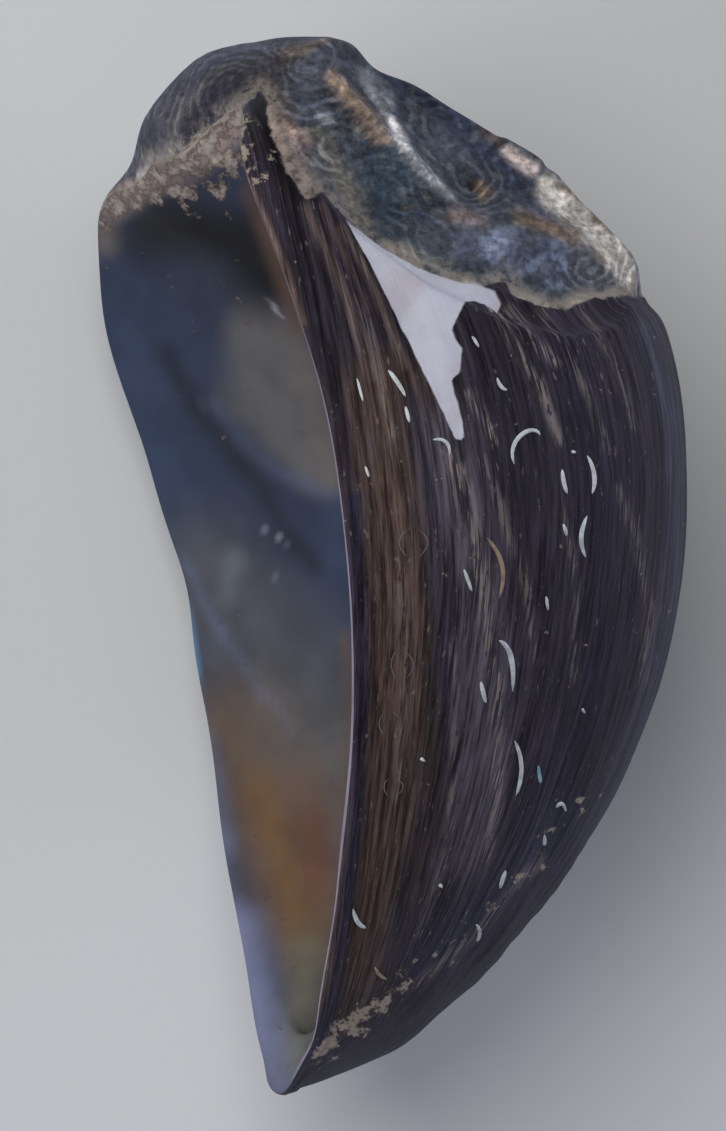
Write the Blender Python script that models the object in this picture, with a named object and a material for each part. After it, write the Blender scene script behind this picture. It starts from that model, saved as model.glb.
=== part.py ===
"""Freshwater nerite shell lying on its rounded flank. Metres, +Z up, +Y from the base tip to the spire.

The shell grew as one piece: a deep dome, a thin outer lip, and a shelf (the deck) that closes half of
the mouth. It is modelled the way a punched-in ball would be: the upper half of a sphere becomes the
outside, and the lower half turns back at the lip, runs over the deck, and lines the inside.

The design uses the mouth's own directions first: along (base tip to spire), across (far flank to
outer lip) and rise (from the mouth plane into the dome). The last step lays the shell down.
"""

import math

import bmesh
import bpy
import numpy as np

MM = 0.001

# Driving dimensions
LENGTH = 29.0 * MM
HALF_WIDTH = 12.5 * MM
DOME_RISE = 13.35 * MM
WALL = 0.95 * MM
CROWN_WALL = 1.3 * MM
LIP_BEVEL = 0.55 * MM
LIP_ROUNDING = 0.30 * MM
LIP_INNER_RISE = 0.55 * MM
LIP_THICKENING = 0.7 * MM
LIE_ANGLE = math.radians(16.0)
TIP_ACROSS = -0.376 * HALF_WIDTH
MIDDLE_ALONG = 0.586 * LENGTH

# Stations round the mouth, from the base tip past the far flank, the spire and the outer lip.
# Each has the rim's place along and across and its rise, then how far the wall bellies out beyond
# the rim and at what height above it, all in millimetres, and the roundness of the dome there.
STATIONS = [
    (0.0, -4.7, 0.0, 0.05, 0.5, 1.74),
    (1.4, -7.2, 0.28, 0.10, 0.9, 1.76),
    (3.9, -8.9, 0.85, 0.20, 1.8, 1.80),
    (7.6, -10.6, 1.6, 0.35, 3.4, 1.95),
    (13.5, -12.1, 1.9, 0.60, 6.1, 2.30),
    (18.0, -12.5, 1.85, 0.50, 6.6, 2.38),
    (22.4, -12.1, 1.27, 0.50, 5.7, 2.25),
    (24.4, -11.2, 1.28, 0.80, 3.4, 2.0),
    (25.5, -8.9, 0.9, 1.0, 3.0, 2.0),
    (25.9, -4.6, 0.4, 2.1, 3.2, 2.0),
    (26.3, -1.3, 0.3, 2.5, 3.2, 2.0),
    (26.5, 3.0, 0.6, 2.2, 2.6, 2.0),
    (27.0, 5.25, 0.9, 1.2, 2.0, 2.0),
    (27.1, 6.6, 1.0, 0.6, 1.5, 2.0),
    (25.7, 9.6, 0.0, 0.15, 0.6, 2.0),
    (22.0, 11.7, 0.0, 0.05, 0.5, 2.0),
    (18.8, 12.6, 0.1, 0.05, 0.5, 2.0),
    (14.3, 12.2, 0.0, 0.05, 0.5, 2.0),
    (10.4, 10.0, 0.0, 0.05, 0.5, 1.95),
    (5.1, 5.4, -0.24, 0.05, 0.4, 1.84),
    (2.4, 2.0, -0.33, 0.05, 0.4, 1.80),
    (0.9, -0.6, -0.15, 0.05, 0.4, 1.77),
]

# The deck's free edge is a nearly straight line between two points (along, across). Its toothed
# edge lies deeper than the rim.
DECK_BASE_END = (4.4 * MM, -4.0 * MM)
DECK_SPIRE_END = (23.8 * MM, 3.9 * MM)
DECK_RISE_AT_BASE = 4.2 * MM
DECK_RISE_AT_SPIRE = 2.3 * MM
DECK_SAG = 1.0 * MM
DECK_FALL = 0.85
DECK_THICKNESS = 0.9 * MM
DECK_EDGE_THICKNESS = 0.7 * MM
MOUTH_MIDDLE = (15.2 * MM, 4.6 * MM)
TEETH = 9
TOOTH_DEPTH = 0.12 * MM

# The lip is backed by a thicker wall at the notch beside the spire
NOTCH_TURN = math.radians(35.0)
NOTCH_SPREAD = math.radians(13.0)
NOTCH_BACKING = 0.8 * MM
LIP_MARGIN = 0.25 * MM

# The worn spire is cut off by a slanting plane: its point and its outward direction, lying down.
SPIRE_POINT = (8.91 * MM, 22.1 * MM, 12.6 * MM)
SPIRE_NORMAL = (0.668, 0.605, 0.434)
SPIRE_FLATTENING = 0.7
SPIRE_LEDGE = 0.22 * MM
SHOULDER_NORMAL = (0.721, 0.693, 0.0)
SHOULDER_OFFSET = 24.6 * MM
SHOULDER_FLATTENING = 0.55

# The wear stops short of the lip, and the lining draws back a little more than the outside
SOUND_LIP = 1.1 * MM
INNER_WEAR = 1.6

# Hollows and swellings of the worn spire, seen from above: x, y, half length, half width, turn in
# degrees and height, the last one negative for a hollow.
SPIRE_MARKS = [
    (7.7, 24.0, 1.7, 1.1, -38.0, -0.42),
    (10.9, 21.7, 2.0, 0.8, -14.0, 0.28),
    (6.3, 28.2, 1.9, 1.5, 0.0, 0.62),
    (8.0, 25.3, 2.8, 0.28, -52.0, 0.30),
    (6.9, 26.5, 1.3, 0.26, -48.0, 0.26),
    (12.6, 21.4, 1.8, 0.6, -40.0, 0.25),
    (9.9, 23.4, 1.4, 0.6, -35.0, -0.22),
]

# Growth folds round the dome, strongest beside the outer lip
FOLD_COUNT = 17
FOLD_HEIGHT = 0.05 * MM

# Worn flat under the far flank, on which the shell lies
FLAT_DEPTH = 0.42 * MM

COLUMNS = 92
CROWN_RINGS = 21
BELLY_RINGS = 3
LIP_RINGS = 3
DECK_RINGS = 6
UNDER_RINGS = 3
LINING_RINGS = 11


def round_the_mouth(values, at_angles, angles):
    """Smooth periodic curve through one station value, read at the given angles."""
    order = np.argsort(at_angles)
    turn = 2.0 * math.pi
    known = np.concatenate([at_angles[order] + shift for shift in (-turn, 0.0, turn)])
    heights = np.tile(values[order], 3)
    slopes = np.gradient(heights, known)
    left = np.clip(np.searchsorted(known, angles) - 1, 0, len(known) - 2)
    span = known[left + 1] - known[left]
    t = (angles - known[left]) / span
    rise = heights[left] * (2 * t**3 - 3 * t**2 + 1) + heights[left + 1] * (3 * t**2 - 2 * t**3)
    bend = slopes[left] * (t**3 - 2 * t**2 + t) + slopes[left + 1] * (t**3 - t**2)
    return rise + span * bend


def station_curves(angles):
    """Rim radius, rim rise, belly radius, belly rise and roundness in each direction."""
    table = np.array(STATIONS)
    along = table[:, 0] * MM - MIDDLE_ALONG
    across = table[:, 1] * MM
    at_angles = np.arctan2(across, along)
    radius = round_the_mouth(np.hypot(along, across), at_angles, angles)
    rise = round_the_mouth(table[:, 2] * MM, at_angles, angles)
    belly_radius = radius + round_the_mouth(table[:, 3] * MM, at_angles, angles)
    belly_rise = rise + round_the_mouth(table[:, 4] * MM, at_angles, angles)
    roundness = round_the_mouth(table[:, 5], at_angles, angles)
    return radius, rise, belly_radius, belly_rise, roundness


def ring(angles, radius, rise):
    """One ring of points (along, across, rise) about the middle of the mouth."""
    along = MIDDLE_ALONG + radius * np.cos(angles)
    across = radius * np.sin(angles)
    return np.stack([along, across, np.broadcast_to(rise, angles.shape)], axis=-1)


def even_out(values, angles):
    """The same curve round the mouth with only its three widest waves left."""
    smooth = np.full_like(values, values.mean())
    for wave in (1, 2, 3):
        smooth += 2.0 * (values * np.cos(wave * angles)).mean() * np.cos(wave * angles)
        smooth += 2.0 * (values * np.sin(wave * angles)).mean() * np.sin(wave * angles)
    return smooth


def dome_ring(angles, low_radius, low_rise, top, roundness, lean):
    """One ring of a dome: lean is 0 at its crown and a quarter turn at its foot."""
    crown_share = math.cos(lean) ** 1.5 if lean < 0.5 * math.pi else 0.0
    radius = low_radius + (even_out(low_radius, angles) - low_radius) * crown_share
    foot = low_rise + (even_out(low_rise, angles) - low_rise) * crown_share
    power = roundness + (roundness.mean() - roundness) * crown_share
    reach = math.sin(lean) ** (2.0 / power)
    lift = max(math.cos(lean), 0.0) ** (2.0 / power)
    return radius * reach, foot + (top - foot) * lift


def dome_rings(angles):
    """Outside of the shell, from the crown down to the rim."""
    radius, rise, belly_radius, belly_rise, roundness = station_curves(angles)
    rings = []
    for step in range(CROWN_RINGS + 1):
        lean = 0.5 * math.pi * step / CROWN_RINGS
        reach, lift = dome_ring(angles, belly_radius, belly_rise, DOME_RISE, roundness, lean)
        fold = FOLD_HEIGHT * math.cos(FOLD_COUNT * 2.0 * lean) * math.sin(lean) ** 2
        rings.append(ring(angles, reach + fold, lift))
    for step in range(1, BELLY_RINGS + 1):
        curl = 0.5 * math.pi * step / BELLY_RINGS
        radius_here = radius + (belly_radius - radius) * math.cos(curl)
        rings.append(ring(angles, radius_here, belly_rise - (belly_rise - rise) * math.sin(curl)))
    return rings


def notch_backing(angles):
    """Extra wall behind the lip, in each direction."""
    off = (angles - NOTCH_TURN + math.pi) % (2.0 * math.pi) - math.pi
    return NOTCH_BACKING * np.exp(-((off / NOTCH_SPREAD) ** 2))


def mouth_opening(angles):
    """The open part of the mouth: bounded by the lip on one side and the deck's edge on the other."""
    start = np.array(DECK_BASE_END)
    end = np.array(DECK_SPIRE_END)
    edge = (end - start) / np.linalg.norm(end - start)
    inward = np.array([-edge[1], edge[0]])
    middle = np.array(MOUTH_MIDDLE)
    rays = np.stack([np.cos(angles), np.sin(angles)], axis=-1)
    depth = (middle - start) @ inward
    facing = np.maximum(-(rays @ inward), 1e-6)
    to_edge = depth / facing

    lip_angles = np.linspace(-math.pi, math.pi, 2881)[:-1]
    lip_radius = station_curves(lip_angles)[0] - LIP_BEVEL - LIP_MARGIN - notch_backing(lip_angles)
    lip = ring(lip_angles, lip_radius, 0.0)[:, :2] - middle
    lip_turn = np.arctan2(lip[:, 1], lip[:, 0])
    order = np.argsort(lip_turn)
    lip_distance = np.hypot(lip[order, 0], lip[order, 1])
    to_lip = np.interp(angles, lip_turn[order], lip_distance, period=2.0 * math.pi)

    soft = 6.0
    reach = (to_edge ** -soft + to_lip ** -soft) ** (-1.0 / soft)
    on_deck = np.clip((to_lip - reach) / (2.0 * MM), 0.0, 1.0)
    here = middle + rays * reach[:, None]
    run = ((here - start) @ edge) / np.linalg.norm(end - start)
    tooth = TOOTH_DEPTH * np.sin(2.0 * math.pi * TEETH * run) * on_deck
    here = here + inward * tooth[:, None]
    run = np.clip(run, 0.0, 1.0)
    deep = DECK_RISE_AT_BASE + (DECK_RISE_AT_SPIRE - DECK_RISE_AT_BASE) * run
    deep += DECK_SAG * np.sin(math.pi * run)
    return here, on_deck * on_deck * (3.0 - 2.0 * on_deck), deep


def lip_and_deck_rings(angles):
    """From the rim over the rounded lip, down the sunken deck to its free edge and back beneath it."""
    radius, rise, belly_radius, belly_rise, _ = station_curves(angles)
    opening, on_deck, deep = mouth_opening(angles)
    inner_rise = rise + LIP_INNER_RISE
    edge_rise = inner_rise + (deep - inner_rise) * on_deck
    rings = []
    for step in range(1, LIP_RINGS + 1):
        curl = 0.5 * math.pi * step / LIP_RINGS
        radius_here = radius - LIP_BEVEL * math.sin(curl)
        rings.append(ring(angles, radius_here, rise + LIP_ROUNDING * (1.0 - math.cos(curl))))
    start = rings[-1]
    for step in range(1, DECK_RINGS + 1):
        t = step / DECK_RINGS
        point = np.empty_like(start)
        point[:, :2] = start[:, :2] + (opening - start[:, :2]) * t
        point[:, 2] = start[:, 2] + (edge_rise - start[:, 2]) * t ** DECK_FALL
        rings.append(point)

    lining_radius = belly_radius - WALL - notch_backing(angles)
    lining_rise = edge_rise + DECK_THICKNESS * on_deck + LIP_THICKENING * (1.0 - on_deck)
    highest_seat = np.maximum(belly_rise, inner_rise + DECK_THICKNESS + 0.5 * MM)
    lining_rise = np.minimum(lining_rise, highest_seat)
    seat = ring(angles, lining_radius, lining_rise)
    for step in range(1, UNDER_RINGS + 1):
        t = step / UNDER_RINGS
        point = np.empty_like(seat)
        point[:, :2] = opening + (seat[:, :2] - opening) * t
        under_edge = edge_rise + DECK_EDGE_THICKNESS
        point[:, 2] = under_edge + (seat[:, 2] - under_edge) * t
        rings.append(point)
    return rings


def lining_rings(angles):
    """Inside of the dome, from behind the lip up to the inner crown."""
    roundness = station_curves(angles)[4]
    low = lip_and_deck_rings(angles)[-1]
    low_radius = np.hypot(low[:, 0] - MIDDLE_ALONG, low[:, 1])
    low_rise = low[:, 2]
    top = DOME_RISE - CROWN_WALL
    rings = []
    for step in range(1, LINING_RINGS + 1):
        lean = 0.5 * math.pi * (1.0 - step / LINING_RINGS)
        reach, lift = dome_ring(angles, low_radius, low_rise, top, roundness, lean)
        rings.append(ring(angles, reach, lift))
    return rings


def lay_down(points):
    """Turn the mouth's own directions into the lying shell's x, y and z."""
    along, across, rise = points[..., 0], points[..., 1] - TIP_ACROSS, points[..., 2]
    x = rise * math.cos(LIE_ANGLE) + across * math.sin(LIE_ANGLE)
    z = across * math.cos(LIE_ANGLE) - rise * math.sin(LIE_ANGLE)
    return np.stack([x, along, z], axis=-1)


def soft_step(value, low, high):
    t = np.clip((value - low) / (high - low), 0.0, 1.0)
    return t * t * (3.0 - 2.0 * t)


def wear_the_spire(points):
    """How far each outer point is moved by the worn spire: two flats, then hollows and ridges."""
    worn = points.copy()
    shoulder = np.array(SHOULDER_NORMAL)
    height = worn @ shoulder - SHOULDER_OFFSET
    worn -= (np.maximum(height, 0.0) * SHOULDER_FLATTENING)[..., None] * shoulder

    spire = np.array(SPIRE_NORMAL)
    spire /= np.linalg.norm(spire)
    height = (worn - np.array(SPIRE_POINT)) @ spire
    cut = np.maximum(height, 0.0) * SPIRE_FLATTENING + SPIRE_LEDGE * soft_step(height, -0.1 * MM, 0.25 * MM)
    worn -= cut[..., None] * spire

    upper_side = soft_step(points[..., 2], -4.0 * MM, 0.0)
    for x, y, half_length, half_width, turn, lift in SPIRE_MARKS:
        dx = worn[..., 0] - x * MM
        dy = worn[..., 1] - y * MM
        c, s = math.cos(math.radians(turn)), math.sin(math.radians(turn))
        u = (dx * c + dy * s) / (half_length * MM)
        v = (dy * c - dx * s) / (half_width * MM)
        swell = lift * MM * np.exp(-(u * u + v * v)) * upper_side
        worn += swell[..., None] * spire
    return worn - points


def wear_at_same_height(points, wear, angles):
    """The outside's wear, read for inner points in the same direction and at the same height."""
    belly_rise = station_curves(angles)[3]
    lift = np.clip((points[..., 2] - belly_rise) / (DOME_RISE - belly_rise), 0.0, 1.0)
    level = np.arccos(lift) * CROWN_RINGS / (0.5 * math.pi)
    above = np.minimum(level.astype(int), CROWN_RINGS - 1)
    part = (level - above)[..., None]
    column = np.broadcast_to(np.arange(len(angles)), above.shape)
    return INNER_WEAR * (wear[above, column] * (1.0 - part) + wear[above + 1, column] * part)


def shell_grid(columns):
    """Every ring of the shell, from the outer crown over the lip to the inner crown.

    The lining follows the wear of the outside, so that the wall keeps its thickness.
    """
    angles = np.arange(columns) / columns * 2.0 * math.pi
    dome = np.stack(dome_rings(angles))
    folded = np.stack(lip_and_deck_rings(angles))
    lining = np.stack(lining_rings(angles))

    above_rim = dome[..., 2] - dome[-1, :, 2]
    wear = wear_the_spire(lay_down(dome)) * soft_step(above_rim, SOUND_LIP, 3.0 * SOUND_LIP)[..., None]
    behind = wear_at_same_height(folded, wear, angles)
    behind[:LIP_RINGS] = 0.0
    towards_edge = np.arange(1, DECK_RINGS + 1) / DECK_RINGS
    behind[LIP_RINGS: LIP_RINGS + DECK_RINGS] *= towards_edge[:, None, None]
    return np.concatenate([
        lay_down(dome) + wear,
        lay_down(folded) + behind,
        lay_down(lining) + wear_at_same_height(lining, wear, angles),
    ])


def rest_on_flat(points):
    """Stand the shell on z = 0 with a small worn flat, and centre its outline on x and y."""
    low = points[..., 2].min() + FLAT_DEPTH
    points[..., 2] = np.maximum(points[..., 2] - low, 0.0)
    for axis in (0, 1):
        points[..., axis] -= 0.5 * (points[..., axis].min() + points[..., axis].max())
    return points


def grow_shell():
    """Start from a ball and move each of its vertices to its place on the shell."""
    grid = rest_on_flat(shell_grid(COLUMNS))
    ring_count = grid.shape[0]
    bm = bmesh.new()
    bmesh.ops.create_uvsphere(bm, u_segments=COLUMNS, v_segments=ring_count - 1, radius=1.0)
    for vert in bm.verts:
        lean = math.acos(max(-1.0, min(1.0, vert.co.z)))
        row = round(lean / math.pi * (ring_count - 1))
        column = round(math.atan2(vert.co.y, vert.co.x) / (2.0 * math.pi) * COLUMNS) % COLUMNS
        vert.co = grid[row, column]
    bmesh.ops.recalc_face_normals(bm, faces=bm.faces)
    mesh = bpy.data.meshes.new("nerite_shell")
    bm.to_mesh(mesh)
    bm.free()
    mesh.shade_smooth()
    shell = bpy.data.objects.new("nerite_shell", mesh)
    bpy.context.scene.collection.objects.link(shell)
    return shell


def shell_material():
    """Near-black horny skin with a dull sheen."""
    material = bpy.data.materials.new("nerite_skin")
    material.use_nodes = True
    surface = material.node_tree.nodes["Principled BSDF"]
    surface.inputs["Base Color"].default_value = (0.030, 0.024, 0.032, 1.0)
    surface.inputs["Roughness"].default_value = 0.45
    surface.inputs["Metallic"].default_value = 0.0
    return material


for old in list(bpy.data.objects):
    bpy.data.objects.remove(old, do_unlink=True)

grow_shell().data.materials.append(shell_material())
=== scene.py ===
import math

import bmesh
import bpy
import numpy as np
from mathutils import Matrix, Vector, noise
from mathutils.bvhtree import BVHTree


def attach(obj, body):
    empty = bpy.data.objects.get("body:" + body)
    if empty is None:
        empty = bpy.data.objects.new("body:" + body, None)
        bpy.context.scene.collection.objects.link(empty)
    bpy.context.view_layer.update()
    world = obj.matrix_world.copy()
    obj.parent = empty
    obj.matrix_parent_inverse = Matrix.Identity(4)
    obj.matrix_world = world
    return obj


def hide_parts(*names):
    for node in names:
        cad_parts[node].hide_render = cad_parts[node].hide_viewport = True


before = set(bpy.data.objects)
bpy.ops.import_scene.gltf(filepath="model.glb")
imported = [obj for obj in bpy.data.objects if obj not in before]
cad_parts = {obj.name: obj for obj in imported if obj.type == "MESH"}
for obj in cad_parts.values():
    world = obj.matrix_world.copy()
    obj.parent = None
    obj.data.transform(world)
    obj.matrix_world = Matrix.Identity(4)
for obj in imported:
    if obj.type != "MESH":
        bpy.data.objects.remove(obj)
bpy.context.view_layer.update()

scene = bpy.context.scene

# The shell wall
# One grown piece of limy shell: a deep dome, a thin outer lip, the deck across half of the mouth and
# the smooth lining. It is a ball punched in from below, as in the part's source, with finer rings,
# the folds of its growth and the pits and ledges of its worn spire.
MM = 0.001
LENGTH = 29.0 * MM
HALF_WIDTH = 12.5 * MM
DOME_RISE = 13.35 * MM
WALL = 0.95 * MM
CROWN_WALL = 1.3 * MM
LIP_BEVEL = 0.55 * MM
LIP_ROUNDING = 0.30 * MM
LIP_INNER_RISE = 0.55 * MM
LIP_THICKENING = 0.7 * MM
EVENING_POWER = 1.5
LIE_ANGLE = math.radians(16.0)
TIP_ACROSS = -0.376 * HALF_WIDTH
MIDDLE_ALONG = 0.586 * LENGTH

# Stations round the mouth from the base tip past the far flank, the spire and the outer lip: along,
# across and rise of the rim, how far and how high the wall bellies out (mm), and its roundness.
STATIONS = [
    (0.0, -4.7, 0.0, 0.05, 0.5, 1.74),
    (1.4, -7.2, 0.28, 0.10, 0.9, 1.76),
    (3.9, -8.9, 0.85, 0.20, 1.8, 1.80),
    (7.6, -10.6, 1.6, 0.35, 3.4, 1.95),
    (13.5, -12.1, 1.9, 0.60, 6.1, 2.30),
    (18.0, -12.5, 1.85, 0.50, 6.6, 2.38),
    (22.4, -12.1, 1.27, 0.50, 5.7, 2.25),
    (24.4, -11.2, 1.28, 0.80, 3.4, 2.0),
    (25.5, -8.9, 0.9, 1.0, 3.0, 2.0),
    (25.9, -4.6, 0.4, 2.1, 3.2, 2.0),
    (26.3, -1.3, 0.3, 2.5, 3.2, 2.0),
    (26.5, 3.0, 0.6, 2.2, 2.6, 2.0),
    (27.0, 5.25, 0.9, 1.2, 2.0, 2.0),
    (27.1, 6.6, 1.0, 0.6, 1.5, 2.0),
    (25.7, 9.6, 0.0, 0.15, 0.6, 2.0),
    (22.0, 11.7, 0.0, 0.05, 0.5, 2.0),
    (18.8, 12.6, 0.1, 0.05, 0.5, 2.0),
    (14.3, 12.2, 0.0, 0.05, 0.5, 2.0),
    (10.4, 10.0, 0.0, 0.05, 0.5, 1.95),
    (5.1, 5.4, -0.24, 0.05, 0.4, 1.84),
    (2.4, 2.0, -0.33, 0.05, 0.4, 1.80),
    (0.9, -0.6, -0.15, 0.05, 0.4, 1.77),
]
DECK_BASE_END = (4.4 * MM, -4.0 * MM)
DECK_SPIRE_END = (23.8 * MM, 3.9 * MM)
DECK_RISE_AT_BASE = 4.2 * MM
DECK_RISE_AT_SPIRE = 2.3 * MM
DECK_SAG = 1.0 * MM
DECK_FALL = 0.85
DECK_THICKNESS = 0.9 * MM
DECK_EDGE_THICKNESS = 0.7 * MM
MOUTH_MIDDLE = (15.2 * MM, 4.6 * MM)
MOUTH_CORNER_SHARPNESS = 6.0
DECK_BLEND = 2.0 * MM
LIP_SAMPLES = 2880
TEETH = 9
TOOTH_DEPTH = 0.12 * MM
NOTCH_TURN = math.radians(35.0)
NOTCH_SPREAD = math.radians(13.0)
NOTCH_BACKING = 0.8 * MM
LIP_MARGIN = 0.25 * MM
LINING_ROOM = 0.5 * MM

SPIRE_POINT = (8.91 * MM, 22.1 * MM, 12.6 * MM)
SPIRE_NORMAL = (0.668, 0.605, 0.434)
SPIRE_FLATTENING = 0.7
SPIRE_LEDGE = 0.22 * MM
SPIRE_LEDGE_SPAN = (-0.1 * MM, 0.25 * MM)
SHOULDER_NORMAL = (0.721, 0.693, 0.0)
SHOULDER_OFFSET = 24.6 * MM
SHOULDER_FLATTENING = 0.55
SOUND_LIP = 1.1 * MM
INNER_WEAR = 1.6
# Hollows and ridges of the worn spire: x, y, half length, half width (mm), turn (degrees), lift (mm)
SPIRE_MARKS = [
    (7.7, 24.0, 1.7, 1.1, -38.0, -0.42),
    (10.9, 21.7, 2.0, 0.8, -14.0, 0.28),
    (6.3, 28.2, 1.9, 1.5, 0.0, 0.62),
    (8.0, 25.3, 2.8, 0.28, -52.0, 0.30),
    (6.9, 26.5, 1.3, 0.26, -48.0, 0.26),
    (12.6, 21.4, 1.8, 0.6, -40.0, 0.25),
    (9.9, 23.4, 1.4, 0.6, -35.0, -0.22),
]
MARKS_FADE = 4.0 * MM
FOLD_COUNT = 17
FOLD_HEIGHT = 0.05 * MM
FLAT_DEPTH = 0.42 * MM

COLUMNS = 384
NEAR_SIDE_CROWDING = 0.55
CROWN_RINGS = 140
BELLY_RINGS = 14
LIP_RINGS = 8
DECK_RINGS = 28
UNDER_RINGS = 8
LINING_RINGS = 26


def round_the_mouth(values, at_angles, angles):
    """Smooth periodic curve through one station value, read at the given angles."""
    order = np.argsort(at_angles)
    turn = 2.0 * math.pi
    known = np.concatenate([at_angles[order] + shift for shift in (-turn, 0.0, turn)])
    heights = np.tile(values[order], 3)
    slopes = np.gradient(heights, known)
    left = np.clip(np.searchsorted(known, angles) - 1, 0, len(known) - 2)
    span = known[left + 1] - known[left]
    t = (angles - known[left]) / span
    rise = heights[left] * (2 * t**3 - 3 * t**2 + 1) + heights[left + 1] * (3 * t**2 - 2 * t**3)
    bend = slopes[left] * (t**3 - 2 * t**2 + t) + slopes[left + 1] * (t**3 - t**2)
    return rise + span * bend


def station_curves(angles):
    """Rim radius, rim rise, belly radius, belly rise and roundness in each direction."""
    table = np.array(STATIONS)
    along = table[:, 0] * MM - MIDDLE_ALONG
    across = table[:, 1] * MM
    at_angles = np.arctan2(across, along)
    radius = round_the_mouth(np.hypot(along, across), at_angles, angles)
    rise = round_the_mouth(table[:, 2] * MM, at_angles, angles)
    belly_radius = radius + round_the_mouth(table[:, 3] * MM, at_angles, angles)
    belly_rise = rise + round_the_mouth(table[:, 4] * MM, at_angles, angles)
    roundness = round_the_mouth(table[:, 5], at_angles, angles)
    return radius, rise, belly_radius, belly_rise, roundness


def ring(angles, radius, rise):
    """One ring of points (along, across, rise) about the middle of the mouth."""
    along = MIDDLE_ALONG + radius * np.cos(angles)
    across = radius * np.sin(angles)
    return np.stack([along, across, np.broadcast_to(rise, angles.shape)], axis=-1)


def column_share(angles):
    """How much of the turn each column stands for, since the near side has more columns."""
    gaps = np.diff(np.append(angles, angles[0] + 2.0 * math.pi))
    return 0.5 * (gaps + np.roll(gaps, 1)) / (2.0 * math.pi)


def even_out(values, angles):
    """The same curve round the mouth with only its three widest waves left."""
    share = column_share(angles)
    smooth = np.full_like(values, (values * share).sum())
    for wave in (1, 2, 3):
        smooth += 2.0 * (values * np.cos(wave * angles) * share).sum() * np.cos(wave * angles)
        smooth += 2.0 * (values * np.sin(wave * angles) * share).sum() * np.sin(wave * angles)
    return smooth


def dome_ring(angles, low_radius, low_rise, top, roundness, lean):
    """One ring of a dome: lean is 0 at its crown and a quarter turn at its foot."""
    crown_share = max(math.cos(lean), 0.0) ** EVENING_POWER
    radius = low_radius + (even_out(low_radius, angles) - low_radius) * crown_share
    foot = low_rise + (even_out(low_rise, angles) - low_rise) * crown_share
    evened = (roundness * column_share(angles)).sum()
    power = roundness + (evened - roundness) * crown_share
    reach = math.sin(lean) ** (2.0 / power)
    lift = max(math.cos(lean), 0.0) ** (2.0 / power)
    return radius * reach, foot + (top - foot) * lift


def dome_rings(angles):
    """Outside of the shell, from the crown down to the rim."""
    radius, rise, belly_radius, belly_rise, roundness = station_curves(angles)
    rings = []
    for step in range(CROWN_RINGS + 1):
        lean = 0.5 * math.pi * step / CROWN_RINGS
        reach, lift = dome_ring(angles, belly_radius, belly_rise, DOME_RISE, roundness, lean)
        fold = FOLD_HEIGHT * math.cos(FOLD_COUNT * 2.0 * lean) * math.sin(lean) ** 2
        rings.append(ring(angles, reach + fold, lift))
    for step in range(1, BELLY_RINGS + 1):
        curl = 0.5 * math.pi * step / BELLY_RINGS
        radius_here = radius + (belly_radius - radius) * math.cos(curl)
        rings.append(ring(angles, radius_here, belly_rise - (belly_rise - rise) * math.sin(curl)))
    return rings


def notch_backing(angles):
    """Extra wall behind the lip, in each direction."""
    off = (angles - NOTCH_TURN + math.pi) % (2.0 * math.pi) - math.pi
    return NOTCH_BACKING * np.exp(-((off / NOTCH_SPREAD) ** 2))


def mouth_opening(angles):
    """The open part of the mouth: bounded by the lip on one side and the deck's edge on the other."""
    start = np.array(DECK_BASE_END)
    end = np.array(DECK_SPIRE_END)
    edge = (end - start) / np.linalg.norm(end - start)
    inward = np.array([-edge[1], edge[0]])
    middle = np.array(MOUTH_MIDDLE)
    rays = np.stack([np.cos(angles), np.sin(angles)], axis=-1)
    depth = (middle - start) @ inward
    facing = np.maximum(-(rays @ inward), 1e-6)
    to_edge = depth / facing

    lip_angles = np.linspace(-math.pi, math.pi, LIP_SAMPLES + 1)[:-1]
    lip_radius = station_curves(lip_angles)[0] - LIP_BEVEL - LIP_MARGIN - notch_backing(lip_angles)
    lip = ring(lip_angles, lip_radius, 0.0)[:, :2] - middle
    lip_turn = np.arctan2(lip[:, 1], lip[:, 0])
    order = np.argsort(lip_turn)
    lip_distance = np.hypot(lip[order, 0], lip[order, 1])
    to_lip = np.interp(angles, lip_turn[order], lip_distance, period=2.0 * math.pi)

    sharp = MOUTH_CORNER_SHARPNESS
    reach = (to_edge ** -sharp + to_lip ** -sharp) ** (-1.0 / sharp)
    on_deck = np.clip((to_lip - reach) / DECK_BLEND, 0.0, 1.0)
    here = middle + rays * reach[:, None]
    run = ((here - start) @ edge) / np.linalg.norm(end - start)
    tooth = TOOTH_DEPTH * np.sin(2.0 * math.pi * TEETH * run) * on_deck
    here = here + inward * tooth[:, None]
    run = np.clip(run, 0.0, 1.0)
    deep = DECK_RISE_AT_BASE + (DECK_RISE_AT_SPIRE - DECK_RISE_AT_BASE) * run
    deep = deep + DECK_SAG * np.sin(math.pi * run)
    return here, on_deck * on_deck * (3.0 - 2.0 * on_deck), deep


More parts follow.
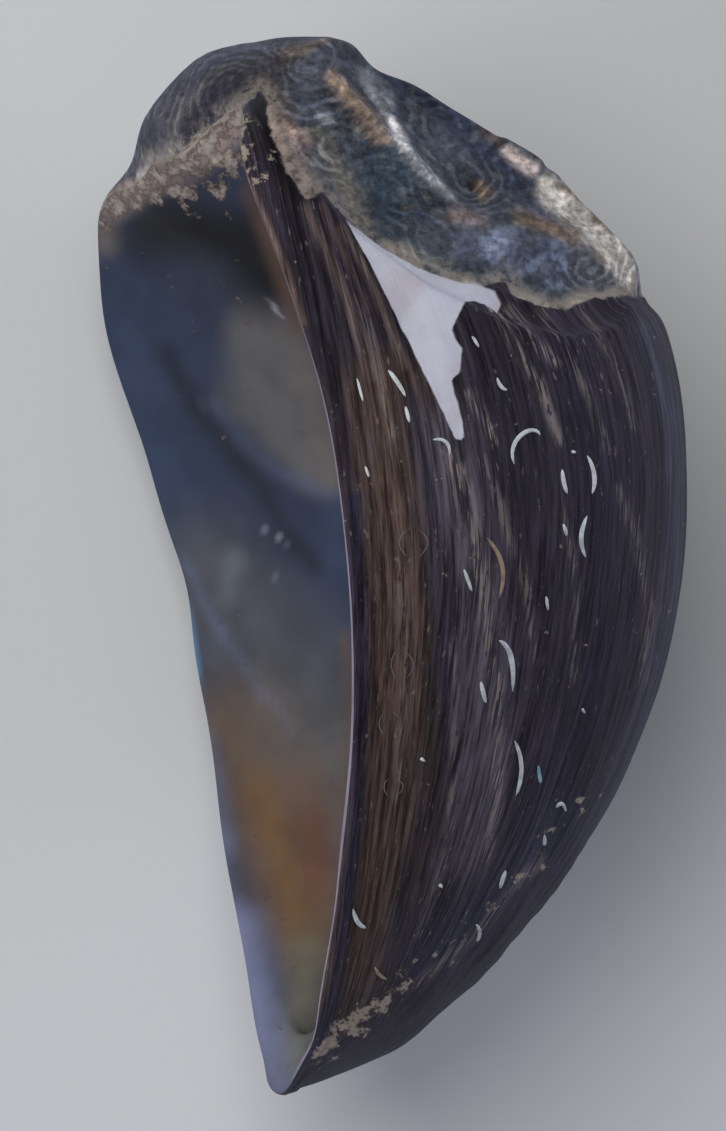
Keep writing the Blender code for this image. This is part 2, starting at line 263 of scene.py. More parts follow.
def lip_and_deck_rings(angles):
    """From the rim over the rounded lip, down the sunken deck to its free edge and back beneath it."""
    radius, rise, belly_radius, belly_rise, _ = station_curves(angles)
    opening, on_deck, deep = mouth_opening(angles)
    inner_rise = rise + LIP_INNER_RISE
    edge_rise = inner_rise + (deep - inner_rise) * on_deck
    rings = []
    for step in range(1, LIP_RINGS + 1):
        curl = 0.5 * math.pi * step / LIP_RINGS
        radius_here = radius - LIP_BEVEL * math.sin(curl)
        rings.append(ring(angles, radius_here, rise + LIP_ROUNDING * (1.0 - math.cos(curl))))
    start = rings[-1]
    for step in range(1, DECK_RINGS + 1):
        t = step / DECK_RINGS
        point = np.empty_like(start)
        point[:, :2] = start[:, :2] + (opening - start[:, :2]) * t
        point[:, 2] = start[:, 2] + (edge_rise - start[:, 2]) * t ** DECK_FALL
        rings.append(point)

    lining_radius = belly_radius - WALL - notch_backing(angles)
    lining_rise = edge_rise + DECK_THICKNESS * on_deck + LIP_THICKENING * (1.0 - on_deck)
    highest_seat = np.maximum(belly_rise, inner_rise + DECK_THICKNESS + LINING_ROOM)
    lining_rise = np.minimum(lining_rise, highest_seat)
    seat = ring(angles, lining_radius, lining_rise)
    for step in range(1, UNDER_RINGS + 1):
        t = step / UNDER_RINGS
        point = np.empty_like(seat)
        point[:, :2] = opening + (seat[:, :2] - opening) * t
        under_edge = edge_rise + DECK_EDGE_THICKNESS
        point[:, 2] = under_edge + (seat[:, 2] - under_edge) * t
        rings.append(point)
    return rings


def lining_rings(angles):
    """Inside of the dome, from behind the lip up to the inner crown."""
    roundness = station_curves(angles)[4]
    low = lip_and_deck_rings(angles)[-1]
    low_radius = np.hypot(low[:, 0] - MIDDLE_ALONG, low[:, 1])
    low_rise = low[:, 2]
    rings = []
    for step in range(1, LINING_RINGS + 1):
        lean = 0.5 * math.pi * (1.0 - step / LINING_RINGS)
        reach, lift = dome_ring(angles, low_radius, low_rise, DOME_RISE - CROWN_WALL, roundness, lean)
        rings.append(ring(angles, reach, lift))
    return rings


def lay_down(points):
    """Turn the mouth's own directions into the lying shell's x, y and z."""
    along, across, rise = points[..., 0], points[..., 1] - TIP_ACROSS, points[..., 2]
    x = rise * math.cos(LIE_ANGLE) + across * math.sin(LIE_ANGLE)
    z = across * math.cos(LIE_ANGLE) - rise * math.sin(LIE_ANGLE)
    return np.stack([x, along, z], axis=-1)


def soft_step(value, low, high):
    """Smooth rise from 0 at the low value to 1 at the high one."""
    t = np.clip((value - low) / (high - low), 0.0, 1.0)
    return t * t * (3.0 - 2.0 * t)


def spire_wear(points):
    """How far each outer point is moved by the worn spire: two flats, then hollows and ridges."""
    worn = points.copy()
    shoulder = np.array(SHOULDER_NORMAL)
    height = worn @ shoulder - SHOULDER_OFFSET
    worn -= (np.maximum(height, 0.0) * SHOULDER_FLATTENING)[..., None] * shoulder
    spire = np.array(SPIRE_NORMAL)
    spire /= np.linalg.norm(spire)
    height = (worn - np.array(SPIRE_POINT)) @ spire
    cut = np.maximum(height, 0.0) * SPIRE_FLATTENING
    cut += SPIRE_LEDGE * soft_step(height, *SPIRE_LEDGE_SPAN)
    worn -= cut[..., None] * spire
    upper_side = soft_step(points[..., 2], -MARKS_FADE, 0.0)
    for x, y, half_length, half_width, turn, lift in SPIRE_MARKS:
        dx = worn[..., 0] - x * MM
        dy = worn[..., 1] - y * MM
        c, s = math.cos(math.radians(turn)), math.sin(math.radians(turn))
        u = (dx * c + dy * s) / (half_length * MM)
        v = (dy * c - dx * s) / (half_width * MM)
        worn += (lift * MM * np.exp(-(u * u + v * v)) * upper_side)[..., None] * spire
    return worn - points


def wear_at_same_height(points, wear, angles):
    """The outside's wear, read for inner points in the same direction and at the same height."""
    belly_rise = station_curves(angles)[3]
    lift = np.clip((points[..., 2] - belly_rise) / (DOME_RISE - belly_rise), 0.0, 1.0)
    level = np.arccos(lift) * CROWN_RINGS / (0.5 * math.pi)
    above = np.minimum(level.astype(int), CROWN_RINGS - 1)
    part = (level - above)[..., None]
    column = np.broadcast_to(np.arange(len(angles)), above.shape)
    return INNER_WEAR * (wear[above, column] * (1.0 - part) + wear[above + 1, column] * part)


turns = np.arange(COLUMNS) / COLUMNS * 2.0 * math.pi
directions = turns - NEAR_SIDE_CROWDING * np.sin(turns - 0.5 * math.pi)
dome = np.stack(dome_rings(directions))
folded = np.stack(lip_and_deck_rings(directions))
lining = np.stack(lining_rings(directions))
mouth_frame = np.concatenate([dome, folded, lining])
above_rim = dome[..., 2] - dome[-1, :, 2]
wear = spire_wear(lay_down(dome)) * soft_step(above_rim, SOUND_LIP, 3.0 * SOUND_LIP)[..., None]
behind = wear_at_same_height(folded, wear, directions)
behind[:LIP_RINGS] = 0.0
towards_edge = np.arange(1, DECK_RINGS + 1) / DECK_RINGS
behind[LIP_RINGS: LIP_RINGS + DECK_RINGS] *= towards_edge[:, None, None]
outer = lay_down(dome) + wear
grid = np.concatenate([
    outer,
    lay_down(folded) + behind,
    lay_down(lining) + wear_at_same_height(lining, wear, directions),
])
ROWS = len(grid)
RIM_ROW = len(dome) - 1

# Growth: every line of growth is an old lip, so all lines are planes about the axis from the base
# tip to the notch. Growth is measured in millimetres back from the lip, run along the lip.
LIP_LENGTH = 28.0
GROWTH_RADIUS = 11.0
axis_start = np.array([0.0, -4.7 * MM, 0.0])
axis_end = np.array([28.3 * MM, 3.6 * MM, 1.6 * MM])
axis_way = (axis_end - axis_start) / np.linalg.norm(axis_end - axis_start)
dome_way = np.array([0.0, 0.0, 1.0]) - axis_way[2] * axis_way
dome_way /= np.linalg.norm(dome_way)
lip_way = np.cross(dome_way, axis_way)
lip_way *= np.sign(lip_way[1])
from_tip = mouth_frame - axis_start
growth = np.arctan2(from_tip @ dome_way, from_tip @ lip_way) * GROWTH_RADIUS
run = (from_tip @ axis_way) / MM

# Photograph to shell: one pixel is 1/36 mm on the shell, and the base tip is at TIP_PIXEL
PIXEL = 1.0 / 36.0 * MM
TIP_PIXEL = (283.0, 1097.0)
PHOTO_ROLL = math.radians(11.13)


def seen_at(column, row):
    """Place on the lying shell, seen from above, of a pixel of the photograph."""
    right = (column - TIP_PIXEL[0]) * PIXEL
    up = (TIP_PIXEL[1] - row) * PIXEL
    x = right * math.cos(PHOTO_ROLL) + up * math.sin(PHOTO_ROLL)
    y = up * math.cos(PHOTO_ROLL) - right * math.sin(PHOTO_ROLL)
    return x, y


def line_distance(points, ends):
    """Distance in metres from each point to a line of straight pieces, seen from above."""
    nearest = np.full(points.shape[:2], 1.0)
    x, y = points[..., 0], points[..., 1]
    for (ax, ay), (bx, by) in zip(ends[:-1], ends[1:]):
        length = max((bx - ax) ** 2 + (by - ay) ** 2, 1e-12)
        t = np.clip(((x - ax) * (bx - ax) + (y - ay) * (by - ay)) / length, 0.0, 1.0)
        nearest = np.minimum(nearest, np.hypot(x - ax - t * (bx - ax), y - ay - t * (by - ay)))
    return nearest


def inside_outline(points, outline):
    """Distance in millimetres to a closed outline given in pixels, positive inside it."""
    ends = [seen_at(*corner) for corner in [*outline, outline[0]]]
    x, y = points[..., 0], points[..., 1]
    within = np.zeros(x.shape, bool)
    for (ax, ay), (bx, by) in zip(ends[:-1], ends[1:]):
        crosses = (ay > y) != (by > y)
        at = ax + (y - ay) / (by - ay if by != ay else 1e-9) * (bx - ax)
        within ^= crosses & (x < at)
    nearest = line_distance(points, ends)
    return np.where(within, nearest, -nearest) / MM


def stroke(points, pixels, width, soft):
    """Soft brush stroke seen from above along a line of pixels: 1 on the line and 0 beside it."""
    nearest = line_distance(points, [seen_at(*pixel) for pixel in pixels])
    return soft_step(-nearest / PIXEL, -0.5 * width - soft, -0.5 * width + soft)


def surface_normals(points):
    """Outward directions of a grid of points, from its rings and columns."""
    down = np.gradient(points, axis=0)
    round_about = (np.roll(points, -1, axis=1) - np.roll(points, 1, axis=1)) * 0.5
    normal = np.cross(down, round_about)
    size = np.linalg.norm(normal, axis=-1, keepdims=True)
    return normal / np.maximum(size, 1e-12)


is_outside = np.zeros(ROWS)
is_outside[: RIM_ROW + 1] = 1.0
is_outside = is_outside[:, None]

# Outline of the worn spire and, below it, of the bare patch where the skin has flaked off, in pixels
WORN_OUTLINE = [
    (260, 92), (267, 106), (269, 130), (276, 152), (286, 173), (306, 203), (322, 197), (336, 212),
    (349, 226), (383, 254), (414, 270), (456, 287), (477, 291), (497, 286), (504, 285), (511, 298),
    (532, 308), (564, 312), (578, 306), (593, 302), (612, 299), (633, 294), (700, 270), (760, 120),
    (560, 20), (400, -60), (200, -60), (40, 60), (60, 215), (95, 203), (143, 163), (172, 158),
    (195, 146), (223, 123), (240, 114),
]
BARE_OUTLINE = [
    (345, 222), (377, 280), (398, 324), (416, 361), (436, 401), (453, 438), (458, 442), (463, 438),
    (462, 424), (455, 402), (450, 381), (459, 374), (461, 351), (455, 342), (451, 331), (458, 316),
    (464, 304), (474, 303), (484, 307), (496, 315), (500, 306), (492, 294), (478, 289), (458, 284),
    (432, 276), (415, 269), (384, 252),
]
# What the photograph shows reaches a little past the outline, to where the surface turns well down.
# Behind that, the worn spire ends on a straight line across the hidden side.
NEAR_SIDE_SPAN = (-0.40, -0.12)
HIDDEN_LINE_Y = 19.9
HIDDEN_LINE_SLOPE = 0.4
HIDDEN_LINE_X = 13.7
BACK_ROW = 40
outward = surface_normals(grid)
outward *= np.sign((outward[BACK_ROW] * (grid[BACK_ROW] - grid.mean((0, 1)))).sum())
near_side = np.where(is_outside > 0.5, soft_step(outward[..., 2], *NEAR_SIDE_SPAN), 1.0)
hidden_line = HIDDEN_LINE_Y + HIDDEN_LINE_SLOPE * (HIDDEN_LINE_X - grid[..., 0] / MM)
behind_line = grid[..., 1] / MM - hidden_line
worn = inside_outline(grid, WORN_OUTLINE) * near_side + behind_line * (1.0 - near_side)
bare = np.where(near_side > 0.5, inside_outline(grid, BARE_OUTLINE), -1.0)


SWAY = 1.3
SWAY_LENGTH = 3.1


def folds(position, periods, seed):
    """Waves of unequal length in one direction, which sway so that no two are alike."""
    total = np.zeros_like(position)
    for number, period in enumerate(periods):
        start = 1.7 * seed + 2.3 * number
        sway = SWAY * np.sin(position / (SWAY_LENGTH * period) + start)
        total += np.sin(2.0 * math.pi * position / period + start + sway)
    return total / len(periods)


SKIN_EDGE = (-0.02, 0.06)
SKIN_THICKNESS = 0.05
skin_share = soft_step(-worn, *SKIN_EDGE) * soft_step(-bare, *SKIN_EDGE) * is_outside

# Fine relief of the worn spire and the notch, seen from above in pixels: width, softness, height
FINE_RELIEF = [
    ([(331, 78), (358, 108), (384, 137)], 8, 5, 0.20),
    ([(317, 86), (343, 118), (370, 150)], 5, 5, -0.16),
    ([(365, 78), (393, 118), (423, 174), (445, 192), (494, 226)], 5, 5, 0.10),
    ([(474, 187), (475, 188)], 5, 5, -0.35),
    ([(486, 192), (490, 196)], 10, 6, 0.07),
    ([(372, 165), (364, 200), (384, 226), (404, 206), (400, 165)], 4, 4, 0.06),
    ([(480, 262), (520, 244), (566, 258), (560, 276), (510, 280)], 5, 5, 0.07),
    ([(503, 143), (531, 167)], 12, 4, 0.08),
    ([(549, 186), (590, 220), (622, 258)], 22, 8, 0.10),
    ([(516, 217), (550, 226), (583, 235)], 8, 5, 0.08),
    ([(472, 284), (500, 296), (516, 304), (565, 310), (600, 298), (630, 290)], 6, 4, 0.08),
    ([(278, 118), (292, 150), (310, 185)], 22, 5, 0.09),
    ([(284, 128), (300, 160)], 3, 3, -0.12),
    ([(264, 150), (292, 205), (322, 270), (350, 340)], 4, 4, -0.07),
    ([(256, 100), (262, 140), (282, 190), (310, 255)], 4, 4, -0.08),
    ([(120, 196), (148, 168), (178, 160), (200, 148), (226, 124)], 12, 6, 0.12),
    ([(279, 57), (281, 59)], 8, 6, -0.12),
    ([(306, 40), (330, 40)], 16, 8, 0.08),
]

# Growth folds, in millimetres, fade out at both ends of the lip. Finer layers end just behind it.
GROWTH_FOLDS = (1.35, 0.83, 0.47)
GROWTH_FOLD_HEIGHT = 0.030
LIP_LAYERS = (0.62, 0.41)
LIP_LAYER_HEIGHT = 0.035
LIP_LAYERS_END = 2.6
growth_fold = folds(growth, GROWTH_FOLDS, 1.0) * GROWTH_FOLD_HEIGHT
growth_fold *= soft_step(np.minimum(run, LIP_LENGTH - run), 0.5, 5.0)
lip_layers = folds(growth + 0.02 * run, LIP_LAYERS, 3.0) * LIP_LAYER_HEIGHT
lip_layers *= soft_step(LIP_LAYERS_END - growth, 0.0, 1.4) * soft_step(growth, 0.15, 0.6)
relief = (growth_fold + lip_layers + SKIN_THICKNESS) * skin_share
for pixels, width, soft, height in FINE_RELIEF:
    relief += stroke(grid, pixels, width, soft) * near_side * is_outside * height
relief[0] = relief[0].mean()
FADED_RINGS = 6
fade_at_rim = np.ones(ROWS)
fade_at_rim[RIM_ROW - FADED_RINGS: RIM_ROW + 1] = np.linspace(1.0, 0.0, FADED_RINGS + 1)
relief *= fade_at_rim[:, None]

# The model rests on its worn flat, with the middle of the plain shell at the origin
low = grid[..., 2].min() + FLAT_DEPTH
box_middle = np.array([0.5 * (grid[..., axis].min() + grid[..., axis].max()) for axis in (0, 1)])

# The far lip is rounder than the near one: its rings are eased until no edge is left behind the rim
EASED_BELOW = (8.0 * MM, 11.0 * MM)
EASED_ROWS = (RIM_ROW + 2, RIM_ROW + LIP_RINGS + 8)
EASING_PASSES = 40
ease = np.zeros(grid.shape[:2] + (1,))
ease[slice(*EASED_ROWS)] = 1.0
ease *= 1.0 - soft_step(grid[..., 2:], *EASED_BELOW)
for _ in range(EASING_PASSES):
    eased = grid.copy()
    eased[1:-1] = 0.5 * grid[1:-1] + 0.25 * (grid[:-2] + grid[2:])
    grid = grid + (eased - grid) * ease

# Small corrections of the outline as seen from above: pixel, move to the right and down, and reach
NUDGES = [
    (215, 840, -9, 0, 90), (168, 590, 9, 0, 60), (113, 160, 14, 6, 36), (200, 66, 2, -9, 36),
    (310, 28, -2, 11, 44), (380, 62, -9, 5, 30), (652, 290, -8, 8, 22), (540, 158, 7, -5, 46),
    (330, 1086, -12, -5, 34), (278, 1096, -8, 1, 24),
]
unmoved = np.array(seen_at(0, 0))
nudged = grid.copy()
for column, row, right, down, reach in NUDGES:
    apart = ((grid[..., :2] - seen_at(column, row)) ** 2).sum(-1, keepdims=True)
    nudged[..., :2] += (seen_at(right, down) - unmoved) * np.exp(-apart / (reach * PIXEL) ** 2)
grid = nudged + outward * (relief * MM)[..., None]
lying = grid.copy()
grid[..., 2] = np.maximum(grid[..., 2] - low, 0.0)
grid[..., :2] -= box_middle

# A ball with as many rings and columns is punched in: each of its corners goes to its place in the grid
bm = bmesh.new()
bmesh.ops.create_uvsphere(bm, u_segments=COLUMNS, v_segments=ROWS - 1, radius=1.0)
bm.verts.ensure_lookup_table()
ball = np.array([vert.co[:] for vert in bm.verts])
row_of = np.rint(np.arccos(np.clip(ball[:, 2], -1.0, 1.0)) / math.pi * (ROWS - 1)).astype(int)
column_of = np.rint(np.arctan2(ball[:, 1], ball[:, 0]) / (2.0 * math.pi) * COLUMNS).astype(int) % COLUMNS
column_of[(row_of == 0) | (row_of == ROWS - 1)] = 0
for vert, place in zip(bm.verts, grid[row_of, column_of]):
    vert.co = place
bm.verts.index_update()


def face_order(face):
    """A number of its own for each face, from its three lowest corners."""
    first, second, third = sorted(vert.index for vert in face.verts)[:3]
    return (first * len(row_of) + second) * len(row_of) + third


# Blender lists a ball's faces in a new order in each run, so they are put in one order here
bm.faces.sort(key=face_order)
bm.faces.index_update()
inner_faces = {face for face in bm.faces if min(row_of[v.index] for v in face.verts) >= RIM_ROW}
for face in bm.faces:
    face.smooth = True
    face.material_index = 1 if face in inner_faces else 0
bmesh.ops.recalc_face_normals(bm, faces=bm.faces)
shell_mesh = bpy.data.meshes.new("shell_wall")
bm.to_mesh(shell_mesh)
shell_tree = BVHTree.FromBMesh(bm)
bm.free()
shell = bpy.data.objects.new("shell_wall", shell_mesh)
scene.collection.objects.link(shell)
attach(shell, "root")
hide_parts("nerite_shell")


def linear(hex_colour):
    """A colour as seen on the screen, turned into the renderer's own scale."""
    parts = [int(hex_colour[at: at + 2], 16) / 255.0 for at in (1, 3, 5)]
    return tuple(c / 12.92 if c <= 0.04045 else ((c + 0.055) / 1.055) ** 2.4 for c in parts) + (1.0,)


def tint(colours, mask, hex_colour, strength):
    """Lay one colour over the others where the mask says so."""
    share = (mask * strength)[..., None]
    return colours * (1.0 - share) + np.array(linear(hex_colour)[:3]) * share


def plain(hex_colour):
    """The same colour at every vertex."""
    return np.broadcast_to(np.array(linear(hex_colour)[:3]), lying.shape)


# Skin: brown beside the lip, then bands of blue and lilac, darker on the round of the back, with a painted
# bluish rim light along the right edge. Each
# stroke has its pixels, width, softness, colour and strength, here and in the lists below.
SKIN_STROKES = [
    ([(388, 400), (394, 470), (396, 560), (394, 700), (384, 820), (360, 910), (330, 980)], 84, 30,
     "#40332d", 0.95),
    ([(440, 440), (478, 600), (488, 720), (470, 860)], 46, 30, "#443f45", 0.85),
    # Painted rim light: a bluish band of light along the right edge of the back
    ([(644, 330), (674, 420), (678, 560), (652, 700), (592, 850)], 16, 14, "#3a3946", 0.8),
    ([(372, 850), (345, 950)], 20, 14, "#403022", 0.6),
    ([(412, 400), (432, 500), (442, 620), (442, 720), (430, 820), (400, 920)], 14, 12, "#2b2a38", 0.6),
    ([(430, 700), (436, 800), (410, 900)], 16, 12, "#33281f", 0.6),
    ([(560, 340), (600, 460), (612, 600), (590, 720), (540, 840)], 40, 30, "#211e2a", 0.7),
    ([(420, 960), (470, 930), (520, 880), (560, 820)], 40, 30, "#282838", 0.6),
    ([(240, 165), (260, 209), (289, 276), (304, 325)], 5, 4, "#5c4a40", 0.8),
    ([(304, 206), (327, 253), (350, 311), (372, 380)], 5, 4, "#5f524c", 0.8),
    ([(322, 208), (344, 254), (368, 312)], 4, 4, "#4c3f3a", 0.7),
    ([(342, 229), (371, 282), (388, 325), (404, 370)], 5, 4, "#64564d", 0.8),
    ([(338, 202), (371, 267), (397, 328), (414, 372)], 4, 3, "#0d0c10", 0.9),
    ([(258, 86), (262, 120), (280, 165), (300, 205)], 9, 5, "#0c0b0e", 0.9),
    ([(246, 140), (268, 190), (296, 262), (318, 330)], 7, 5, "#2c2830", 0.8),
    ([(318, 330), (340, 410), (352, 500)], 8, 6, "#1b1820", 0.8),
    ([(354, 500), (360, 600), (361, 700), (358, 800), (349, 900), (333, 1000), (318, 1050)], 14, 7,
     "#191a29", 0.85),
]
outside = plain("#252027")
for pixels, width, soft, hex_colour, strength in SKIN_STROKES:
    outside = tint(outside, stroke(lying, pixels, width, soft) * near_side, hex_colour, strength)

# Places wander a little, so that no patch of the worn spire has a smooth edge. Blender's noise starts
# from the clock unless it has a seed, so it gets one.
WIDE_PER_MM = 0.9
SMALL_PER_MM = 2.6
WIDE_WANDER = 0.11
SMALL_WANDER = 0.02
WANDER_SEED = 7
noise.seed_set(WANDER_SEED)
wander = np.empty(lying.shape)
for ring_index in range(ROWS):
    for column in range(COLUMNS):
        spot = Vector(lying[ring_index, column] / MM)
        wide = noise.noise_vector(spot * WIDE_PER_MM)
        small = noise.noise_vector(spot * SMALL_PER_MM + Vector((7.0, 1.0, 3.0)))
        wander[ring_index, column] = wide * WIDE_WANDER + small * SMALL_WANDER
wandered = lying + wander * MM

# Worn spire: slate and olive layers, tan ridges, white scars and dark hollows
outside_worn = plain("#3d4249")
WORN_STROKES = [
    ([(140, 150), (200, 80), (300, 60)], 90, 30, "#3b383d", 0.9),
    ([(240, 84), (216, 100), (198, 134)], 44, 20, "#1d1b22", 0.92),
    ([(160, 160), (176, 120), (205, 80), (240, 60)], 6, 6, "#57544e", 0.7),
    ([(141, 151), (176, 157), (202, 140)], 6, 4, "#837c6c", 0.8),
    ([(95, 200), (144, 183), (179, 172), (211, 144), (238, 122)], 20, 7, "#7d6857", 0.95),
    ([(142, 172), (156, 170)], 10, 5, "#b4ada6", 0.95),
    ([(205, 60), (260, 45), (320, 40)], 14, 12, "#474c5a", 0.8),
    ([(281, 59), (282, 62)], 11, 6, "#2c201c", 0.9),
    ([(290, 50), (327, 40)], 9, 6, "#75695b", 0.8),
    ([(330, 60), (300, 95), (330, 110)], 30, 16, "#464b55", 0.8),
    ([(274, 106), (284, 140), (300, 176), (314, 198)], 30, 10, "#5d534f", 0.9),
    ([(270, 112), (274, 135), (285, 158)], 6, 4, "#a58d82", 0.9),
    ([(286, 128), (308, 142)], 12, 5, "#917a70", 0.85),
    ([(320, 118), (330, 122)], 8, 5, "#a3a4a5", 0.8),
    ([(316, 135), (340, 180), (366, 236), (410, 262)], 20, 9, "#66635a", 0.9),
    ([(384, 148), (388, 187), (394, 224)], 48, 12, "#2d3740", 0.9),
    ([(324, 92), (346, 118), (376, 148)], 9, 5, "#1f2228", 0.9),
    ([(352, 82), (374, 106), (392, 134)], 7, 4, "#2c3038", 0.8),
    ([(334, 80), (357, 104), (384, 137)], 15, 5, "#8f7c6c", 0.95),
    ([(336, 80), (352, 98)], 7, 4, "#8f785f", 0.85),
    ([(369, 85), (384, 112), (399, 136), (417, 163), (429, 178), (450, 196)], 5, 6, "#a2a4a5", 0.92),
    ([(366, 76), (388, 98)], 14, 8, "#7d7f80", 0.7),
    ([(390, 120), (404, 144)], 9, 4, "#c2bfba", 0.95),
    ([(418, 218), (436, 202)], 12, 6, "#222838", 0.9),
    ([(390, 76), (456, 118), (498, 160), (558, 218)], 30, 12, "#2a303e", 0.85),
    ([(455, 214), (482, 226)], 16, 8, "#7b6c67", 0.9),
    ([(480, 186), (486, 194)], 12, 6, "#806b58", 0.9),
    ([(474, 186), (475, 187)], 8, 3, "#0a090a", 1.0),
    ([(526, 230), (527, 231)], 5, 3, "#1c1a1e", 0.9),
    ([(484, 126), (500, 140)], 6, 4, "#4d3b30", 0.85),
    ([(507, 149), (534, 169)], 13, 4, "#a89a94", 0.95),
    ([(544, 184), (568, 205)], 12, 4, "#b6b2a8", 0.95),
    ([(552, 192), (586, 221), (612, 247), (627, 273)], 30, 8, "#aea89d", 0.95),
    ([(566, 222), (580, 232)], 6, 4, "#5f5140", 0.8),
    ([(596, 256), (604, 262)], 6, 4, "#6a5b49", 0.8),
    ([(560, 186), (580, 200)], 7, 4, "#5d4b38", 0.85),
    ([(596, 214), (606, 226)], 6, 4, "#6c5637", 0.8),
    ([(522, 217), (546, 226), (573, 238)], 13, 8, "#6f5c4b", 0.85),
    ([(470, 244), (515, 254), (556, 262)], 36, 12, "#565c6c", 0.85),
    ([(420, 262), (450, 270)], 14, 8, "#5c5c5a", 0.8),
    ([(576, 262), (600, 276)], 20, 10, "#4c4d50", 0.8),
    ([(466, 285), (498, 297), (503, 312)], 6, 4, "#b0adab", 0.95),
    ([(512, 298), (534, 306), (567, 309), (591, 300), (632, 292)], 10, 5, "#857c70", 0.9),
]
facing_up = soft_step(outward[..., 2], -0.1, 0.2)
for pixels, width, soft, hex_colour, strength in WORN_STROKES:
    mask = stroke(wandered, pixels, width, soft) * near_side * facing_up
    outside_worn = tint(outside_worn, mask, hex_colour, strength)

# Pale lines of growth where the skin is rubbed through: pixels and width
PALE_LINES = [
    ([(447, 456), (458, 492), (468, 524), (477, 565), (485, 619), (490, 660), (497, 685), (500, 742),
      (493, 818), (487, 855)], 6),
    ([(463, 470), (475, 510), (484, 560), (492, 620)], 3),
    ([(498, 315), (520, 353), (536, 380), (560, 440)], 4),
    ([(509, 310), (536, 345), (555, 364)], 4),
    ([(540, 312), (566, 350), (590, 400), (606, 450)], 2),
    ([(580, 310), (612, 360), (636, 430)], 2),
    ([(468, 394), (493, 443)], 4),
    ([(482, 459), (493, 492), (506, 530), (525, 587), (536, 660)], 3),
    ([(618, 486), (634, 532), (645, 579), (650, 606), (646, 680)], 3),
    ([(560, 500), (574, 580), (574, 680)], 2),
    ([(400, 560), (404, 700), (396, 800)], 2),
    ([(452, 640), (456, 760), (444, 860), (420, 940)], 2),
    ([(540, 860), (480, 930), (420, 985)], 4),
    ([(360, 300), (382, 380), (394, 440)], 2),
]
WIDE_LINE = 3
THIN_LINE_STRENGTH = 0.75
pale = np.zeros(growth.shape)
for pixels, width in PALE_LINES:
    line = stroke(wandered, pixels, 1.2 * width, 7.0) * near_side * is_outside
    pale = np.maximum(pale, line * (1.0 if width > WIDE_LINE else THIN_LINE_STRENGTH))

# Mouth side: slate blue deck, painted light on a brown-grey part under the lip, painted shade under the
# ridge and in the deck's fold, orange towards the base
MOUTH_STROKES = [
    ([(120, 330), (150, 460), (180, 560)], 50, 50, "#2d3749", 0.8),
    ([(200, 580), (270, 650), (330, 720)], 120, 50, "#434448", 0.95),
    ([(262, 700), (316, 740), (336, 800)], 60, 40, "#4b4743", 0.85),
    ([(252, 340), (236, 392)], 34, 24, "#454546", 0.85),
    ([(242, 398), (276, 436), (322, 466)], 36, 16, "#4a4848", 0.9),
    # The lining's brown-grey by the near lip, with painted light that makes it lighter where that part is
    # lit
    ([(258, 330), (292, 400), (322, 458)], 68, 17, "#4f4c4b", 0.95),
    ([(292, 330), (312, 400), (332, 480)], 22, 18, "#5d544c", 0.75),
    ([(214, 404), (238, 442), (279, 472), (337, 496)], 10, 12, "#454c5c", 0.7),
    # Painted shade: a dark line along the fold of the deck, below its lit upper part
    ([(165, 350), (191, 404), (219, 434), (256, 482), (284, 530), (314, 566)], 16, 13, "#1b1e27", 0.9),
    ([(330, 515), (338, 560)], 24, 16, "#303a4e", 0.7),
    ([(232, 560), (226, 596)], 18, 14, "#585b5e", 0.85),
    ([(180, 560), (222, 640), (262, 700)], 7, 8, "#4a5364", 0.6),
    ([(196, 600), (240, 662), (290, 730)], 7, 8, "#545a68", 0.5),
    ([(196, 700), (206, 745)], 10, 12, "#454a5c", 0.6),
    ([(226, 730), (256, 784), (280, 850), (296, 912)], 70, 56, "#574738", 0.95),
    ([(306, 790), (320, 860), (316, 930)], 34, 34, "#5a4636", 0.85),
    ([(258, 800), (284, 870), (300, 950)], 30, 36, "#5f4322", 0.8),
    ([(314, 830), (318, 885)], 18, 22, "#5a3528", 0.75),
    ([(306, 960), (298, 1020), (290, 1060)], 34, 24, "#666252", 0.9),
    ([(204, 750), (222, 850)], 14, 16, "#585c6c", 0.85),
    ([(216, 850), (234, 940)], 14, 20, "#54586a", 0.7),
    ([(238, 940), (264, 1050)], 44, 30, "#585c70", 0.85),
    ([(234, 930), (252, 1000), (268, 1060), (276, 1090)], 22, 22, "#676b81", 0.8),
    ([(345, 636), (348, 700), (346, 770), (340, 830)], 9, 8, "#4f4238", 0.85),
    ([(98, 208), (102, 236)], 24, 14, "#5f554d", 0.8),
    ([(138, 176), (152, 172)], 11, 5, "#b4ada6", 0.95),
    # Painted shadow: near black on the deck under the ridge at the spire end of the mouth
    ([(156, 222), (196, 226), (236, 238), (268, 276)], 60, 30, "#060507", 0.98),
    ([(250, 192), (268, 240), (284, 285), (298, 325)], 13, 10, "#513a2b", 0.8),
    ([(114, 196), (143, 177), (172, 170), (195, 158), (223, 135), (239, 124)], 32, 12, "#7c6a62", 0.95),
    ([(134, 186), (146, 160), (178, 157), (198, 139), (227, 117)], 5, 4, "#8f8874", 0.8),
    ([(270, 300), (280, 316)], 3, 2, "#96928e", 0.8),
    ([(196, 401), (207, 409)], 2.5, 2, "#8d9198", 0.9),
    ([(259, 525), (262, 531)], 3, 2, "#8a8d93", 0.9),
    ([(279, 537), (284, 543)], 3, 2, "#7b7e86", 0.9),
    ([(276, 576), (279, 584)], 3, 2, "#84878e", 0.9),
    ([(185, 612), (190, 645), (196, 682)], 7, 4, "#4b7187", 0.7),
]
inside = plain("#262d3d")
